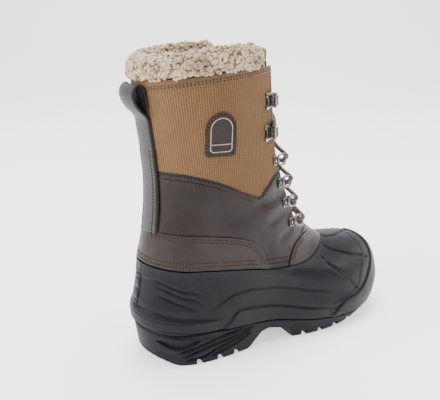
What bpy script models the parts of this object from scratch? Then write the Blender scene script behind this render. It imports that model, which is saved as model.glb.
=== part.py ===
"""Fleece-lined pac boot for the right foot: toe +X, lateral side -Y, up +Z, floor at z = 0."""

import math

import bmesh
import bpy
import numpy as np
from mathutils import Matrix, Vector

# Driving sizes, in metres
LENGTH = 0.302
BALL_WIDTH = 0.112
SHELL_HEIGHT = 0.100
SHAFT_HEIGHT = 0.164

GAP = 0.0003
UPPER_WALL = 0.0022
SHELL_WALL = 0.0032
FLANGE_WALL = 0.0020
OVERLAY_THICK = 0.0012
BADGE_THICK = 0.0011
BINDING_THICK = 0.0010
STRAP_THICK = 0.0017
TONGUE_THICK = 0.0035
INSOLE_THICK = 0.0055
INSOLE_SLACK = 0.0012
LACE_RADIUS = 0.0021
RIM_SEAT = 0.0005
LEDGE_DROP = 0.0008
RELIEF = 0.001

AROUND = 48

# Where the origin lies along the boot, as a share of LENGTH
ORIGIN_SHARE = 0.4915

# Stations along each ring, as shares of its own length from the heel
STATIONS = (0.0, 0.1, 0.24, 0.42, 0.6, 0.8, 1.0)

# How much narrower the medial side is than the lateral side, at each station
MEDIAL_CURVE = (0.0, 0.02, 0.07, 0.19, 0.17, -0.03, -0.12)

# Rubber rings: ends as shares of LENGTH, heights of SHELL_HEIGHT, fullness of BALL_WIDTH
RUBBER = (
    # name, back, front, medial share, heights at the stations, fullness at the stations
    (
        "tread", 0.03, 0.95, 1,
        (0.09, 0, 0, 0, 0, 0.035, 0.15),
        (0.61, 0.55, 0.45, 0.375, 0.48, 0.56, 0.56),
    ),
    (
        "groove", 0.016, 0.972, 1,
        (0.4, 0.365, 0.31, 0.255, 0.18, 0.125, 0.26),
        (0.64, 0.58, 0.47, 0.395, 0.505, 0.59, 0.61),
    ),
    (
        "ridge", 0.013, 0.977, 1,
        (0.58, 0.53, 0.45, 0.445, 0.31, 0.24, 0.38),
        (0.64, 0.58, 0.475, 0.4, 0.51, 0.595, 0.62),
    ),
    (
        "arc", 0.02, 0.969, 0.8,
        (0.7, 0.66, 0.62, 0.61, 0.44, 0.37, 0.49),
        (0.62, 0.56, 0.465, 0.41, 0.49, 0.58, 0.61),
    ),
    (
        "flank", 0.026, 0.944, 0.6,
        (0.8, 0.77, 0.74, 0.685, 0.585, 0.53, 0.65),
        (0.6, 0.545, 0.455, 0.42, 0.47, 0.55, 0.59),
    ),
    (
        "crown", 0.03, 0.893, 0.4,
        (0.87, 0.845, 0.815, 0.75, 0.665, 0.635, 0.765),
        (0.57, 0.535, 0.45, 0.425, 0.45, 0.515, 0.55),
    ),
    (
        "vault", 0.033, 0.82, 0.25,
        (0.92, 0.895, 0.865, 0.805, 0.725, 0.715, 0.81),
        (0.55, 0.525, 0.445, 0.43, 0.435, 0.46, 0.485),
    ),
    (
        "rim", 0.035, 0.722, 0.15,
        (0.98, 0.955, 0.925, 0.875, 0.795, 0.755, 0.85),
        (0.535, 0.515, 0.445, 0.43, 0.43, 0.415, 0.375),
    ),
)
GROOVE_LEVEL = 1
RIM_HEIGHTS = RUBBER[-1][4]

# Upper rings: heights above the shell's rim, as shares of SHAFT_HEIGHT
UPPER = (
    # name, back, front, medial share, heights at the stations, fullness at the stations
    (
        "feather", 0.041, 0.716, 0.15,
        (0, 0, 0, 0, 0, 0, 0),
        (0.52, 0.5, 0.433, 0.415, 0.415, 0.4, 0.365),
    ),
    (
        "counter", 0.05, 0.672, 0.1,
        (0.082, 0.086, 0.085, 0.091, 0.103, 0.098, 0.058),
        (0.5, 0.48, 0.428, 0.41, 0.4, 0.385, 0.357),
    ),
    (
        "heel_cup", 0.064, 0.626, 0.08,
        (0.191, 0.195, 0.194, 0.196, 0.212, 0.213, 0.131),
        (0.48, 0.465, 0.424, 0.41, 0.397, 0.38, 0.357),
    ),
    (
        "ankle", 0.073, 0.584, 0.06,
        (0.314, 0.323, 0.33, 0.336, 0.354, 0.348, 0.259),
        (0.455, 0.446, 0.42, 0.41, 0.4, 0.384, 0.357),
    ),
    (
        "shin", 0.076, 0.543, 0.05,
        (0.449, 0.458, 0.463, 0.476, 0.501, 0.506, 0.424),
        (0.446, 0.438, 0.42, 0.415, 0.406, 0.393, 0.366),
    ),
    (
        "calf", 0.071, 0.512, 0.04,
        (0.589, 0.601, 0.61, 0.627, 0.658, 0.671, 0.594),
        (0.446, 0.442, 0.43, 0.424, 0.415, 0.402, 0.375),
    ),
    (
        "shaft", 0.061, 0.492, 0.03,
        (0.729, 0.744, 0.756, 0.78, 0.823, 0.836, 0.771),
        (0.455, 0.446, 0.438, 0.433, 0.424, 0.411, 0.384),
    ),
    (
        "cuff", 0.053, 0.48, 0.02,
        (0.863, 0.881, 0.903, 0.933, 0.985, 1.013, 0.955),
        (0.46, 0.455, 0.446, 0.442, 0.433, 0.42, 0.4),
    ),
    (
        "collar", 0.046, 0.47, 0,
        (0.979, 1.007, 1.039, 1.086, 1.143, 1.177, 1.122),
        (0.464, 0.46, 0.45, 0.446, 0.438, 0.428, 0.41),
    ),
    (
        "above", 0.04, 0.464, 0,
        (1.082, 1.108, 1.139, 1.183, 1.239, 1.272, 1.22),
        (0.47, 0.464, 0.455, 0.45, 0.442, 0.43, 0.41),
    ),
)
COLLAR_LEVEL = 8

# Relief of the sole's side, outward, as shares of RELIEF: level, then a value at each station
SOLE_RELIEF = (
    (0.00, (0.0, 0.0, 0.0, 0.0, 0.0, 0.0, 0.0)),
    (0.20, (0.8, 1.4, 1.6, 1.0, 0.8, 0.8, 0.8)),
    (0.28, (0.6, 0.2, -0.4, -0.4, 0.0, 0.0, 0.2)),
    (0.42, (0.6, 1.4, 1.8, 1.2, 0.2, 0.0, 0.2)),
    (0.50, (0.6, 0.2, -0.4, -0.6, 0.0, 0.0, 0.1)),
    (0.62, (0.6, 1.4, 1.6, 1.2, 0.2, 0.0, 0.1)),
    (0.72, (0.6, -1.6, -2.0, -0.8, 0.0, 0.0, 0.0)),
    (0.84, (0.6, 0.8, 0.8, 0.6, 0.4, 0.4, 0.4)),
    (0.94, (0.6, 0.8, 0.6, 0.6, 0.6, 0.6, 0.6)),
    (1.00, (-1.4, -1.4, -1.4, -1.4, -1.4, -1.4, -1.4)),
)

# Relief of the shell's outer side
SHELL_RELIEF = (
    (1.00, (-1.4, -1.4, -1.4, -1.4, -1.4, -1.4, -1.4)),
    (1.12, (0.8, 0.8, 0.8, 0.8, 0.6, 0.6, 0.6)),
    (1.90, (3.6, 2.6, 1.4, 1.4, 1.6, 1.6, 2.4)),
    (2.02, (3.4, 2.4, 1.2, 1.2, 1.4, 1.4, 2.2)),
    (2.12, (0.8, 0.6, 0.3, 0.0, 0.0, 0.0, 0.4)),
    (3.00, (0.2, 0.2, 0.3, 0.4, 0.3, 0.3, 0.8)),
    (4.00, (0.0, 0.0, 0.0, 0.0, 0.0, 0.0, 0.0)),
    (5.00, (0.0, 0.0, 0.0, 0.0, 0.0, 0.0, 0.0)),
    (6.30, (0.0, 0.0, 0.0, 0.0, 0.0, 0.0, 0.0)),
    (6.50, (0.8, 0.8, 0.8, 0.8, 0.8, 0.8, 0.8)),
    (7.00, (0.8, 0.8, 0.8, 0.8, 0.8, 0.8, 0.8)),
)

# Heights of the foot bed, as shares of SHELL_HEIGHT
FOOT_BED = (0.33, 0.325, 0.31, 0.26, 0.19, 0.15, 0.25)

# Places along the sole, as shares of LENGTH from the heel
HEEL_GROOVES = (0.149, 0.219, 0.278)
FORE_GROOVES = (0.536, 0.599, 0.662, 0.725, 0.801, 0.877)
ARCH_PROFILE = (
    # along, up as a share of SHELL_HEIGHT
    (0.325, -0.06),
    (0.339, 0.0),
    (0.364, 0.07),
    (0.390, 0.145),
    (0.417, 0.165),
    (0.457, 0.14),
    (0.493, 0.11),
    (0.506, 0.03),
    (0.512, -0.06),
)

# The tread
LUG_DEPTH = 0.0055
GROOVE_WIDTH = 0.0062
GROOVE_SWEEP = 0.007
CENTRE_GROOVE_WIDTH = 0.007
CENTRE_GROOVE_RISE = 0.0012
HEEL_FIELD = (0.10, 0.33)
FORE_FIELD = (0.53, 0.90)
BELOW_FLOOR = 0.01

# The throat, seen from the front: its base above the shell's height, and how much wider it is at the top
THROAT_HALF = 0.0250
THROAT_RISE = 0.004
THROAT_RADIUS = 0.014
THROAT_FLARE = 0.003
THROAT_TOP = 1.6
THROAT_MARGIN = 0.0015
FRONT_HALF = 0.03

# Lines across the upper's side: along as a share of LENGTH, and height as z_at takes it
COUNTER_LINE = (
    (-0.05, 0.214),
    (0.050, 0.210),
    (0.110, 0.194),
    (0.195, 0.168),
    (0.295, 0.128),
    (0.345, 0.074),
    (0.370, 0.005),
    (0.380, -0.077),
    (0.383, -0.175),
    (-0.05, -0.175),
)
VAMP_LINE = (
    (0.492, -0.143),
    (0.500, -0.101),
    (0.530, -0.054),
    (0.562, -0.017),
    (0.585, 0.018),
    (0.640, 0.034),
    (0.760, 0.034),
    (0.760, -0.207),
    (0.492, -0.207),
)
BADGE_WIDTH = 0.027
BADGE_HEIGHT = 0.037
BADGE_CENTRE = (0.229, 0.710)

# Lacing rows, up from the shell's height as shares of SHAFT_HEIGHT, and places across as shares of BALL_WIDTH
RING_ROWS = (0.111, 0.243, 0.367, 0.504)
HOOK_ROWS = (0.678, 0.847)
HOOK_ACROSS = (0.304, 0.281)
RING_ACROSS = 0.272
RING_RADIUS = 0.0046
RING_WIRE = 0.0011
RING_TILT = 35
RING_SEGMENTS = 9
RING_SIDES = 4
CLIP_PLATE = (0.0090, 0.0080, 0.0016)
CLIP_HINGE = (0.0027, 0.0068, 0.0028)
CLIP_HINGE_AT = 0.0037
CLIP_HINGE_LIFT = 0.0002
HOOK_PLATE = (0.0100, 0.0090, 0.0014)
HOOK_STEM = (0.0030, 0.0070, 0.0052)
HOOK_STEM_AT = 0.0005
HOOK_STEM_SINK = 0.0004
HOOK_LIP = (0.0094, 0.0100, 0.0016)
HOOK_LIP_AT = -0.0052
HOOK_LIP_LIFT = 0.0056

# The lace: how far it reaches across the throat, its bow over the tongue, and its distance from the rows
LACE_REACH = 0.0155
LACE_BOW = 0.003
LACE_OVER = 0.7
LACE_STEP = 0.0032
LACE_FIRST_STEP = 0.0011
LACE_POINTS = 6

TONGUE_COLUMNS = 5
TONGUE_LEVELS = (0.95, 2.0, 3.0, 4.0, 5.0, 6.0, 7.0, 8.0, 8.8)
TONGUE_CORNER = 0.35
LEVEL_RISE = 0.021
FLEECE_TURN = 0.386
FLEECE_COLUMNS = 56
STRAP_TURN = 0.046
STRAP_CLOSE = 1.2

# How far the sole's top and the shell's foot stand inside the groove line
RIM_INSET = 0.0014

# Levels of the flange under the upper, and the shell's inside: level, wall as a share of SHELL_WALL
FLANGE_LEVELS = (0.0, 0.8)
SHELL_INSIDE = ((6.3, 1.5), (5.2, 1.125), (4.0, 1.0), (2.7, 1.0), (1.4, 1.125))

# Finishes: colour, roughness, metallic
FINISHES = (
    ("outsole_rubber", (0.02, 0.022, 0.026), 0.55, 0.0),
    ("shell_rubber", (0.025, 0.027, 0.032), 0.5, 0.0),
    ("upper_leather", (0.09, 0.065, 0.06), 0.5, 0.0),
    ("counter_leather", (0.10, 0.07, 0.065), 0.5, 0.0),
    ("vamp_leather", (0.10, 0.07, 0.065), 0.5, 0.0),
    ("badge_leather", (0.06, 0.04, 0.035), 0.6, 0.0),
    ("tongue_nylon", (0.32, 0.20, 0.11), 0.8, 0.0),
    ("binding_nylon", (0.34, 0.21, 0.12), 0.75, 0.0),
    ("strap_tape", (0.12, 0.10, 0.10), 0.6, 0.0),
    ("fleece", (0.75, 0.66, 0.52), 0.95, 0.0),
    ("insole_felt", (0.3, 0.29, 0.28), 0.95, 0.0),
    ("ring_metal", (0.25, 0.25, 0.26), 0.35, 1.0),
    ("hook_metal", (0.30, 0.30, 0.31), 0.25, 1.0),
    ("lace_cord", (0.16, 0.12, 0.10), 0.8, 0.0),
)

# The cuff's section: outward, up from the collar edge, and how lumpy, as shares of RELIEF
FLEECE_CENTRE = (-5.0, 4.0)
FLEECE_SECTION = (
    (-2.8, -16.0, 0.0),
    (-2.8, -2.0, 0.0),
    (-2.8, 1.0, 0.0),
    (2.4, 1.6, 0.02),
    (4.2, 6.5, 0.10),
    (3.6, 13.0, 0.10),
    (0.0, 18.5, 0.08),
    (-5.5, 20.5, 0.08),
    (-11.0, 17.5, 0.08),
    (-14.0, 9.5, 0.10),
    (-13.5, 0.0, 0.08),
    (-12.0, -10.0, 0.04),
    (-8.0, -16.5, 0.0),
)

# The back strap's path: level of the upper, then how far its middle stands off, as shares of RELIEF
STRAP_PATH = (
    (2.36, 1.2),
    (3.2, 1.2),
    (4.0, 1.2),
    (5.0, 1.2),
    (6.0, 1.2),
    (6.4, 1.4),
    (6.62, 3.6),
    (6.85, 8.0),
    (7.15, 11.3),
    (7.45, 11.8),
    (7.72, 9.6),
    (7.84, 6.0),
    (7.74, 3.0),
    (7.4, 1.8),
    (7.1, 1.3),
    (6.9, 1.3),
)


def smooth(knots, values, at):
    """A monotone curve through the knots; values hold one column per place in at."""
    knots = np.asarray(knots, float)
    at = np.atleast_1d(np.asarray(at, float))
    values = np.asarray(values, float)
    if values.ndim == 1:
        values = np.repeat(values[:, None], len(at), axis=1)
    steps = np.diff(knots)[:, None]
    slopes = np.diff(values, axis=0) / steps
    before, after = slopes[:-1], slopes[1:]
    agree = before * after > 0
    safe = np.where(agree, before + after, 1.0)
    inner = np.where(agree, 2 * before * after / safe, 0.0)
    tangents = np.concatenate([slopes[:1], inner, slopes[-1:]])
    place = np.clip(np.searchsorted(knots, at, side="right") - 1, 0, len(knots) - 2)
    column = np.arange(len(at))
    width = np.diff(knots)[place]
    t = (at - knots[place]) / width
    low, high = values[place, column], values[place + 1, column]
    start, end = tangents[place, column] * width, tangents[place + 1, column] * width
    return (
        (1 + 2 * t) * (1 - t) ** 2 * low
        + t * (1 - t) ** 2 * start
        + t * t * (3 - 2 * t) * high
        + t * t * (t - 1) * end
    )


class Form:
    """A skin of rings stacked from low to high; each runs heel, lateral side, toe, medial side."""

    def __init__(self, rows, height, base_shares=None):
        self.levels = np.arange(len(rows))
        self.columns = np.array(
            [[back, front, medial, *heights, *fullness] for _, back, front, medial, heights, fullness in rows]
        )
        self.height = height
        self.base_shares = base_shares

    def base(self, along):
        """Height of the ring that this form stands on."""
        if self.base_shares is None:
            return 0.0
        return smooth(STATIONS, self.base_shares, along) * SHELL_HEIGHT + RIM_SEAT

    def bare(self, turns, levels):
        turns, levels = np.broadcast_arrays(np.asarray(turns, float), np.asarray(levels, float))
        shape = turns.shape
        turns, levels = turns.ravel(), levels.ravel()
        wanted = [smooth(self.levels, column, levels) for column in self.columns.T]
        count = len(STATIONS)
        back, front, medial = wanted[:3]
        heights, fullness = np.array(wanted[3 : 3 + count]), np.array(wanted[3 + count :])
        along = along_of(turns)
        side = np.sin(2 * math.pi * turns)
        narrow = np.where(side < 0, smooth(STATIONS, MEDIAL_CURVE, along) * medial, 0.0)
        x = x_at(back + (front - back) * along)
        y = -side * smooth(STATIONS, fullness, along) * BALL_WIDTH * (1 - narrow)
        z = smooth(STATIONS, heights, along) * self.height + self.base(along)
        return np.stack([x, y, z], axis=-1).reshape(shape + (3,))

    def normal(self, turns, levels):
        turns, levels = np.broadcast_arrays(np.asarray(turns, float), np.asarray(levels, float))
        small_turn, small_level = 2e-3, 0.05
        above = np.minimum(levels + small_level, self.levels[-1])
        below = np.maximum(levels - small_level, 0)
        along = self.bare(turns + small_turn, levels) - self.bare(turns - small_turn, levels)
        up = self.bare(turns, above) - self.bare(turns, below)
        found = np.cross(along, up)
        return found / np.linalg.norm(found, axis=-1, keepdims=True)

    def skin(self, turns, levels, out=0.0):
        """Points on the form, moved outward along its normal."""
        outward = np.asarray(out, float)[..., None]
        return self.bare(turns, levels) + self.normal(turns, levels) * outward


def x_at(share):
    return (share - ORIGIN_SHARE) * LENGTH


def z_at(share):
    """Height of a place on the shaft."""
    return SHELL_HEIGHT + share * SHAFT_HEIGHT


def along_of(turns):
    return (1 - np.cos(2 * math.pi * np.asarray(turns))) / 2


RUBBER_FORM = Form(RUBBER, SHELL_HEIGHT)
UPPER_FORM = Form(UPPER, SHAFT_HEIGHT, RIM_HEIGHTS)
UPPER_LEVELS = (0.06, 1.0, 2.0, 3.0, 4.0, 5.0, 6.0, 7.0, 8.0)
OVERLAY_LEVELS = (0.06, 1.0, 2.0, 3.0)
BADGE_LEVELS = (5.0, 6.0, 7.0, 8.0)
BINDING_LEVELS = (7.6, 7.8, 8.0)
TURNS = np.arange(AROUND) / AROUND


def relief_ring(row):
    level, shares = row
    out = smooth(STATIONS, shares, along_of(TURNS)) * RELIEF
    return RUBBER_FORM.skin(TURNS, level, out)


def clear_scene():
    for obj in list(bpy.data.objects):
        bpy.data.objects.remove(obj)


def collection(name, hidden=False):
    found = bpy.data.collections.new(name)
    bpy.context.scene.collection.children.link(found)
    found.hide_render = hidden
    return found


def material(name, colour, roughness, metallic=0.0):
    made = bpy.data.materials.new(name)
    made.use_nodes = True
    shader = made.node_tree.nodes["Principled BSDF"]
    shader.inputs["Base Color"].default_value = (*colour, 1)
    shader.inputs["Roughness"].default_value = roughness
    shader.inputs["Metallic"].default_value = metallic
    return made


def object_of(name, points, faces, look, group):
    """A mesh object with outward faces."""
    mesh = bpy.data.meshes.new(name)
    mesh.from_pydata([tuple(map(float, point)) for point in points], [], faces)
    work = bmesh.new()
    work.from_mesh(mesh)
    bmesh.ops.recalc_face_normals(work, faces=work.faces)
    bmesh.ops.triangulate(work, faces=work.faces)
    if work.calc_volume(signed=True) < 0:
        bmesh.ops.reverse_faces(work, faces=work.faces)
    work.to_mesh(mesh)
    work.free()
    return linked(name, mesh, look, group)


def linked(name, mesh, look, group):
    obj = bpy.data.objects.new(name, mesh)
    group.objects.link(obj)
    if look:
        mesh.materials.append(look)
    return obj


def as_cutter(obj):
    obj.hide_render = True
    obj.display_type = "WIRE"
    return obj


def bridge(rings, closed):
    """Quads between rings of equal length, the last joined to the first where closed."""
    count = len(rings[0])
    faces = []
    for low in range(len(rings) if closed else len(rings) - 1):
        high = (low + 1) % len(rings)
        for i in range(count):
            j = (i + 1) % count
            faces.append((low * count + i, low * count + j, high * count + j, high * count + i))
    return faces


def ladder(start, count):
    """Fills a ring whose two halves mirror each other, from heel to toe."""
    half = count // 2
    faces = [(start, start + 1, start + count - 1)]
    for i in range(1, half - 1):
        faces.append((start + i, start + i + 1, start + count - i - 1, start + count - i))
    faces.append((start + half - 1, start + half, start + half + 1))
    return faces


def hollow(name, rings, look, group):
    """A wall whose rings run up its outer side and down its inner side."""
    return object_of(name, np.concatenate(rings), bridge(rings, True), look, group)


def filled(name, rings, look, group):
    """A body whose first and last rings are filled."""
    count = len(rings[0])
    faces = bridge(rings, False) + ladder(0, count) + ladder(count * (len(rings) - 1), count)
    return object_of(name, np.concatenate(rings), faces, look, group)


def sheet(name, outer, inner, look, group):
    """A patch of rows and columns between an outer and an inner face."""
    rows, columns = outer.shape[:2]
    total = rows * columns
    faces = []
    for r in range(rows - 1):
        for c in range(columns - 1):
            a, b = r * columns + c, (r + 1) * columns + c
            faces.append((a, a + 1, b + 1, b))
            faces.append((total + a, total + b, total + b + 1, total + a + 1))
    edge = [(0, c) for c in range(columns)]
    edge += [(r, columns - 1) for r in range(1, rows)]
    edge += [(rows - 1, c) for c in range(columns - 2, -1, -1)]
    edge += [(r, 0) for r in range(rows - 2, 0, -1)]
    numbers = [r * columns + c for r, c in edge]
    for a, b in zip(numbers, numbers[1:] + numbers[:1]):
        faces.append((a, total + a, total + b, b))
    points = np.concatenate([outer.reshape(-1, 3), inner.reshape(-1, 3)])
    return object_of(name, points, faces, look, group)


def prism(name, outline, axis, low, high, group):
    """An outline in the plane across an axis, pushed from low to high along it."""
    order = {"X": (2, 0, 1), "Y": (0, 2, 1), "Z": (0, 1, 2)}[axis]
    points = []
    for depth in (low, high):
        for first, second in outline:
            values = (first, second, depth)
            points.append([values[i] for i in order])
    count = len(outline)
    faces = [tuple(range(count)), tuple(range(2 * count - 1, count - 1, -1))]
    faces += [(i, (i + 1) % count, count + (i + 1) % count, count + i) for i in range(count)]
    return as_cutter(object_of(name, points, faces, None, group))


def plain_mesh(obj):
    """The object's evaluated mesh, with its doubles merged."""
    bpy.context.view_layer.update()
    graph = bpy.context.evaluated_depsgraph_get()
    mesh = bpy.data.meshes.new_from_object(obj.evaluated_get(graph))
    work = bmesh.new()
    work.from_mesh(mesh)
    bmesh.ops.remove_doubles(work, verts=work.verts, dist=1e-5)
    bmesh.ops.dissolve_degenerate(work, edges=work.edges, dist=1e-5)
    bmesh.ops.triangulate(work, faces=work.faces)
    work.to_mesh(mesh)
    work.free()
    return mesh


def cut(obj, cutters, operation="DIFFERENCE"):
    """Runs a Boolean for each cutter and keeps its result as the object's mesh."""
    for cutter in cutters:
        modifier = obj.modifiers.new(cutter.name, "BOOLEAN")
        modifier.operation = operation
        modifier.solver = "EXACT"
        modifier.object = cutter
        result = plain_mesh(obj)
        obj.modifiers.clear()
        obj.data = result
    return obj


def side_outline(line):
    return [(x_at(along), z_at(up)) for along, up in line]


def seat_ring():
    """The line just inside the shell's foot, which the sole and the insole fill."""
    return -SHELL_WALL - RIM_INSET


def build_outsole(look, group, cutters):
    bed = relief_ring(SOLE_RELIEF[-1])
    rim = RUBBER_FORM.skin(TURNS, GROOVE_LEVEL, seat_ring() - GAP)
    rim[:, 2] = bed[:, 2]
    floor = RUBBER_FORM.skin(TURNS, GROOVE_LEVEL, seat_ring() - 3 * GAP)
    floor[:, 2] = smooth(STATIONS, FOOT_BED, along_of(TURNS)) * SHELL_HEIGHT
    rings = [relief_ring(row) for row in SOLE_RELIEF] + [rim, floor]
    sole = filled("outsole", rings, look, group)
    arch = [(x_at(along), up * SHELL_HEIGHT) for along, up in ARCH_PROFILE]
    tools = [prism("arch_cutter", arch, "Y", -BALL_WIDTH, BALL_WIDTH, cutters)]
    for number, place in enumerate(HEEL_GROOVES + FORE_GROOVES):
        tools.append(groove_cutter(f"groove_cutter_{number}", place, cutters))
    tools.append(centre_cutter("heel_centre_cutter", HEEL_FIELD, cutters))
    tools.append(centre_cutter("fore_centre_cutter", FORE_FIELD, cutters))
    return cut(sole, tools)


def tread_height(place):
    return float(smooth(STATIONS, RUBBER[0][4], [place])[0]) * SHELL_HEIGHT


def groove_cutter(name, place, group):
    """A cross groove of the tread, bent to a shallow chevron."""
    x = x_at(place)
    half, reach = GROOVE_WIDTH / 2, BALL_WIDTH
    outline = [
        (x - half, -reach),
        (x + GROOVE_SWEEP - half, 0),
        (x - half, reach),
        (x + half, reach),
        (x + GROOVE_SWEEP + half, 0),
        (x + half, -reach),
    ]
    return prism(name, outline, "Z", -BELOW_FLOOR, tread_height(place) + LUG_DEPTH, group)


def centre_cutter(name, field, group):
    """The groove along the middle of a lug field, rising with the toe spring."""
    rise = LUG_DEPTH - CENTRE_GROOVE_RISE
    top = [(x_at(place), tread_height(place) + rise) for place in np.linspace(*field, 5)]
    outline = [(top[0][0], -BELOW_FLOOR), *top, (top[-1][0], -BELOW_FLOOR)]
    half = CENTRE_GROOVE_WIDTH / 2
    return prism(name, outline, "Y", -half, half, group)


def build_shell(look, group):
    outer = [relief_ring(row) for row in SHELL_RELIEF]
    outer[0][:, 2] += GAP
    flange_out = -UPPER_WALL - GAP
    flange = [UPPER_FORM.skin(TURNS, level, flange_out) for level in FLANGE_LEVELS]
    flange[0][:, 2] -= LEDGE_DROP
    flange += [UPPER_FORM.skin(TURNS, level, flange_out - FLANGE_WALL) for level in FLANGE_LEVELS[::-1]]
    inner = [RUBBER_FORM.skin(TURNS, level, -SHELL_WALL * share) for level, share in SHELL_INSIDE]
    foot = RUBBER_FORM.skin(TURNS, GROOVE_LEVEL, seat_ring())
    foot[:, 2] = outer[0][:, 2]
    return hollow("rubber_shell", outer + flange + inner + [foot], look, group)


def throat_outline(margin=0.0):
    """The throat seen from the front, as (y, z) points."""
    half, base = THROAT_HALF + margin, SHELL_HEIGHT + THROAT_RISE - margin
    right = [
        (half - THROAT_RADIUS * (1 - math.sin(a)), base + THROAT_RADIUS * (1 - math.cos(a)))
        for a in np.linspace(0, math.pi / 2, 5)
    ]
    right.append((half + THROAT_FLARE, z_at(THROAT_TOP)))
    return right + [(-y, z) for y, z in right[::-1]]


def throat_cutter(name, group, margin=0.0):
    return prism(name, throat_outline(margin), "X", -FRONT_HALF, LENGTH, group)


def build_upper(look, group, cutters):
    outer = [UPPER_FORM.skin(TURNS, level) for level in UPPER_LEVELS]
    inner = [UPPER_FORM.skin(TURNS, level, -UPPER_WALL) for level in UPPER_LEVELS[::-1]]
    upper = hollow("upper", outer + inner, look, group)
    return cut(upper, [throat_cutter("throat_cutter", cutters)])


def overlay_band(name, levels, thick, look, group):
    """A wall that follows the upper's outside, to be cut to an overlay's outline."""
    outer = [UPPER_FORM.skin(TURNS, level, GAP + thick) for level in levels]
    inner = [UPPER_FORM.skin(TURNS, level, GAP) for level in levels[::-1]]
    return hollow(name, outer + inner, look, group)


def build_counter(look, group, cutters):
    band = overlay_band("counter", OVERLAY_LEVELS, OVERLAY_THICK, look, group)
    shape = prism("counter_cutter", side_outline(COUNTER_LINE), "Y", -BALL_WIDTH, BALL_WIDTH, cutters)
    return cut(band, [shape], "INTERSECT")


def build_vamp(look, group, cutters):
    band = overlay_band("vamp_tab", OVERLAY_LEVELS, OVERLAY_THICK, look, group)
    shape = prism("vamp_cutter", side_outline(VAMP_LINE), "Y", -BALL_WIDTH, BALL_WIDTH, cutters)
    cut(band, [shape], "INTERSECT")
    return cut(band, [throat_cutter("vamp_throat_cutter", cutters, THROAT_MARGIN)])


def build_badge(look, group, cutters):
    half_wide, half_high = BADGE_WIDTH / 2, BADGE_HEIGHT / 2
    band = overlay_band("badge", BADGE_LEVELS, BADGE_THICK, look, group)
    x, z = x_at(BADGE_CENTRE[0]), z_at(BADGE_CENTRE[1])
    arch = [
        (x + half_wide * math.cos(a), z + half_high - half_wide + half_wide * math.sin(a))
        for a in np.linspace(0, math.pi, 9)
    ]
    outline = arch + [(x - half_wide, z - half_high), (x + half_wide, z - half_high)]
    return cut(band, [prism("badge_cutter", outline, "Y", -BALL_WIDTH, 0, cutters)], "INTERSECT")


def build_tongue(look, group):
    """The tongue behind the throat, from under the vamp to above the collar."""
    turns = 0.5 + np.arange(-TONGUE_COLUMNS, TONGUE_COLUMNS + 1) / AROUND
    grid_turns, grid_levels = np.meshgrid(turns, np.array(TONGUE_LEVELS))
    grid_levels[-1] -= TONGUE_CORNER * np.abs(np.linspace(-1, 1, len(turns))) ** 4
    out = -UPPER_WALL - 2 * GAP
    outer = UPPER_FORM.skin(grid_turns, grid_levels, out)
    inner = UPPER_FORM.skin(grid_turns, grid_levels, out - TONGUE_THICK)
    return sheet("tongue", outer, inner, look, group)


def build_insole(look, group):
    outline = RUBBER_FORM.skin(TURNS, GROOVE_LEVEL, seat_ring() - INSOLE_SLACK)
    low, high = outline.copy(), outline.copy()
    bed = smooth(STATIONS, FOOT_BED, along_of(TURNS)) * SHELL_HEIGHT
    low[:, 2] = bed + GAP
    high[:, 2] = bed + GAP + INSOLE_THICK
    return filled("insole", [low, high], look, group)


def ripple(column, row):
    """A fixed bump between -1 and 1, uneven from place to place."""
    across = math.sin(2.399 * column + 1.7 * math.sin(0.9 * column + row))
    return across * math.cos(1.93 * row + 0.61 * column)


def level_outward(turn):
    """The level direction away from the collar's edge."""
    ahead = UPPER_FORM.bare(turn + 0.004, COLLAR_LEVEL) - UPPER_FORM.bare(turn - 0.004, COLLAR_LEVEL)
    outward = np.array([ahead[1], -ahead[0], 0.0])
    return outward / np.linalg.norm(outward)


def fleece_ring(number, turn):
    """One section of the cuff, swollen unevenly and shrunk near the throat."""
    foot = UPPER_FORM.bare(turn, COLLAR_LEVEL)
    outward = level_outward(turn)
    from_end = min(number, FLEECE_COLUMNS - 1 - number)
    end = min(1.0, from_end / 3 + 0.35)
    centre_out, centre_up = FLEECE_CENTRE
    ring = []
    for row, (out, up, lump) in enumerate(FLEECE_SECTION):
        swell = 1 + lump * ripple(number, row)
        away = (centre_out + (out - centre_out) * swell) * RELIEF
        high = (centre_up + (up - centre_up) * swell * (end if up > 2 else 1.0)) * RELIEF
        if high > 0:
            ring.append(foot + outward * away + np.array([0, 0, high]))
        else:
            ring.append(UPPER_FORM.skin(turn, COLLAR_LEVEL + high / LEVEL_RISE, away))
    return np.array(ring)


def build_fleece(look, group):
    """The fleece cuff: a fat roll over the collar with lumps, open at the throat."""
    turns = np.linspace(-FLEECE_TURN, FLEECE_TURN, FLEECE_COLUMNS)
    rings = [fleece_ring(number, turn) for number, turn in enumerate(turns)]
    count = len(FLEECE_SECTION)
    last = (len(rings) - 1) * count
    faces = bridge(rings, False)
    faces += [tuple(range(count)), tuple(range(last + count - 1, last - 1, -1))]
    return object_of("fleece_collar", np.concatenate(rings), faces, look, group)


def build_binding(look, group, cutters):
    band = overlay_band("collar_binding", BINDING_LEVELS, BINDING_THICK, look, group)
    return cut(band, [throat_cutter("binding_throat_cutter", cutters)])


def thicken(name, grid, half, look, group):
    """A strip given thickness both ways along its own normals."""
    along = np.gradient(grid, axis=0)
    across = np.gradient(grid, axis=1)
    normal = np.cross(across, along)
    normal /= np.linalg.norm(normal, axis=-1, keepdims=True)
    return sheet(name, grid + normal * half, grid - normal * half, look, group)


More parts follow.
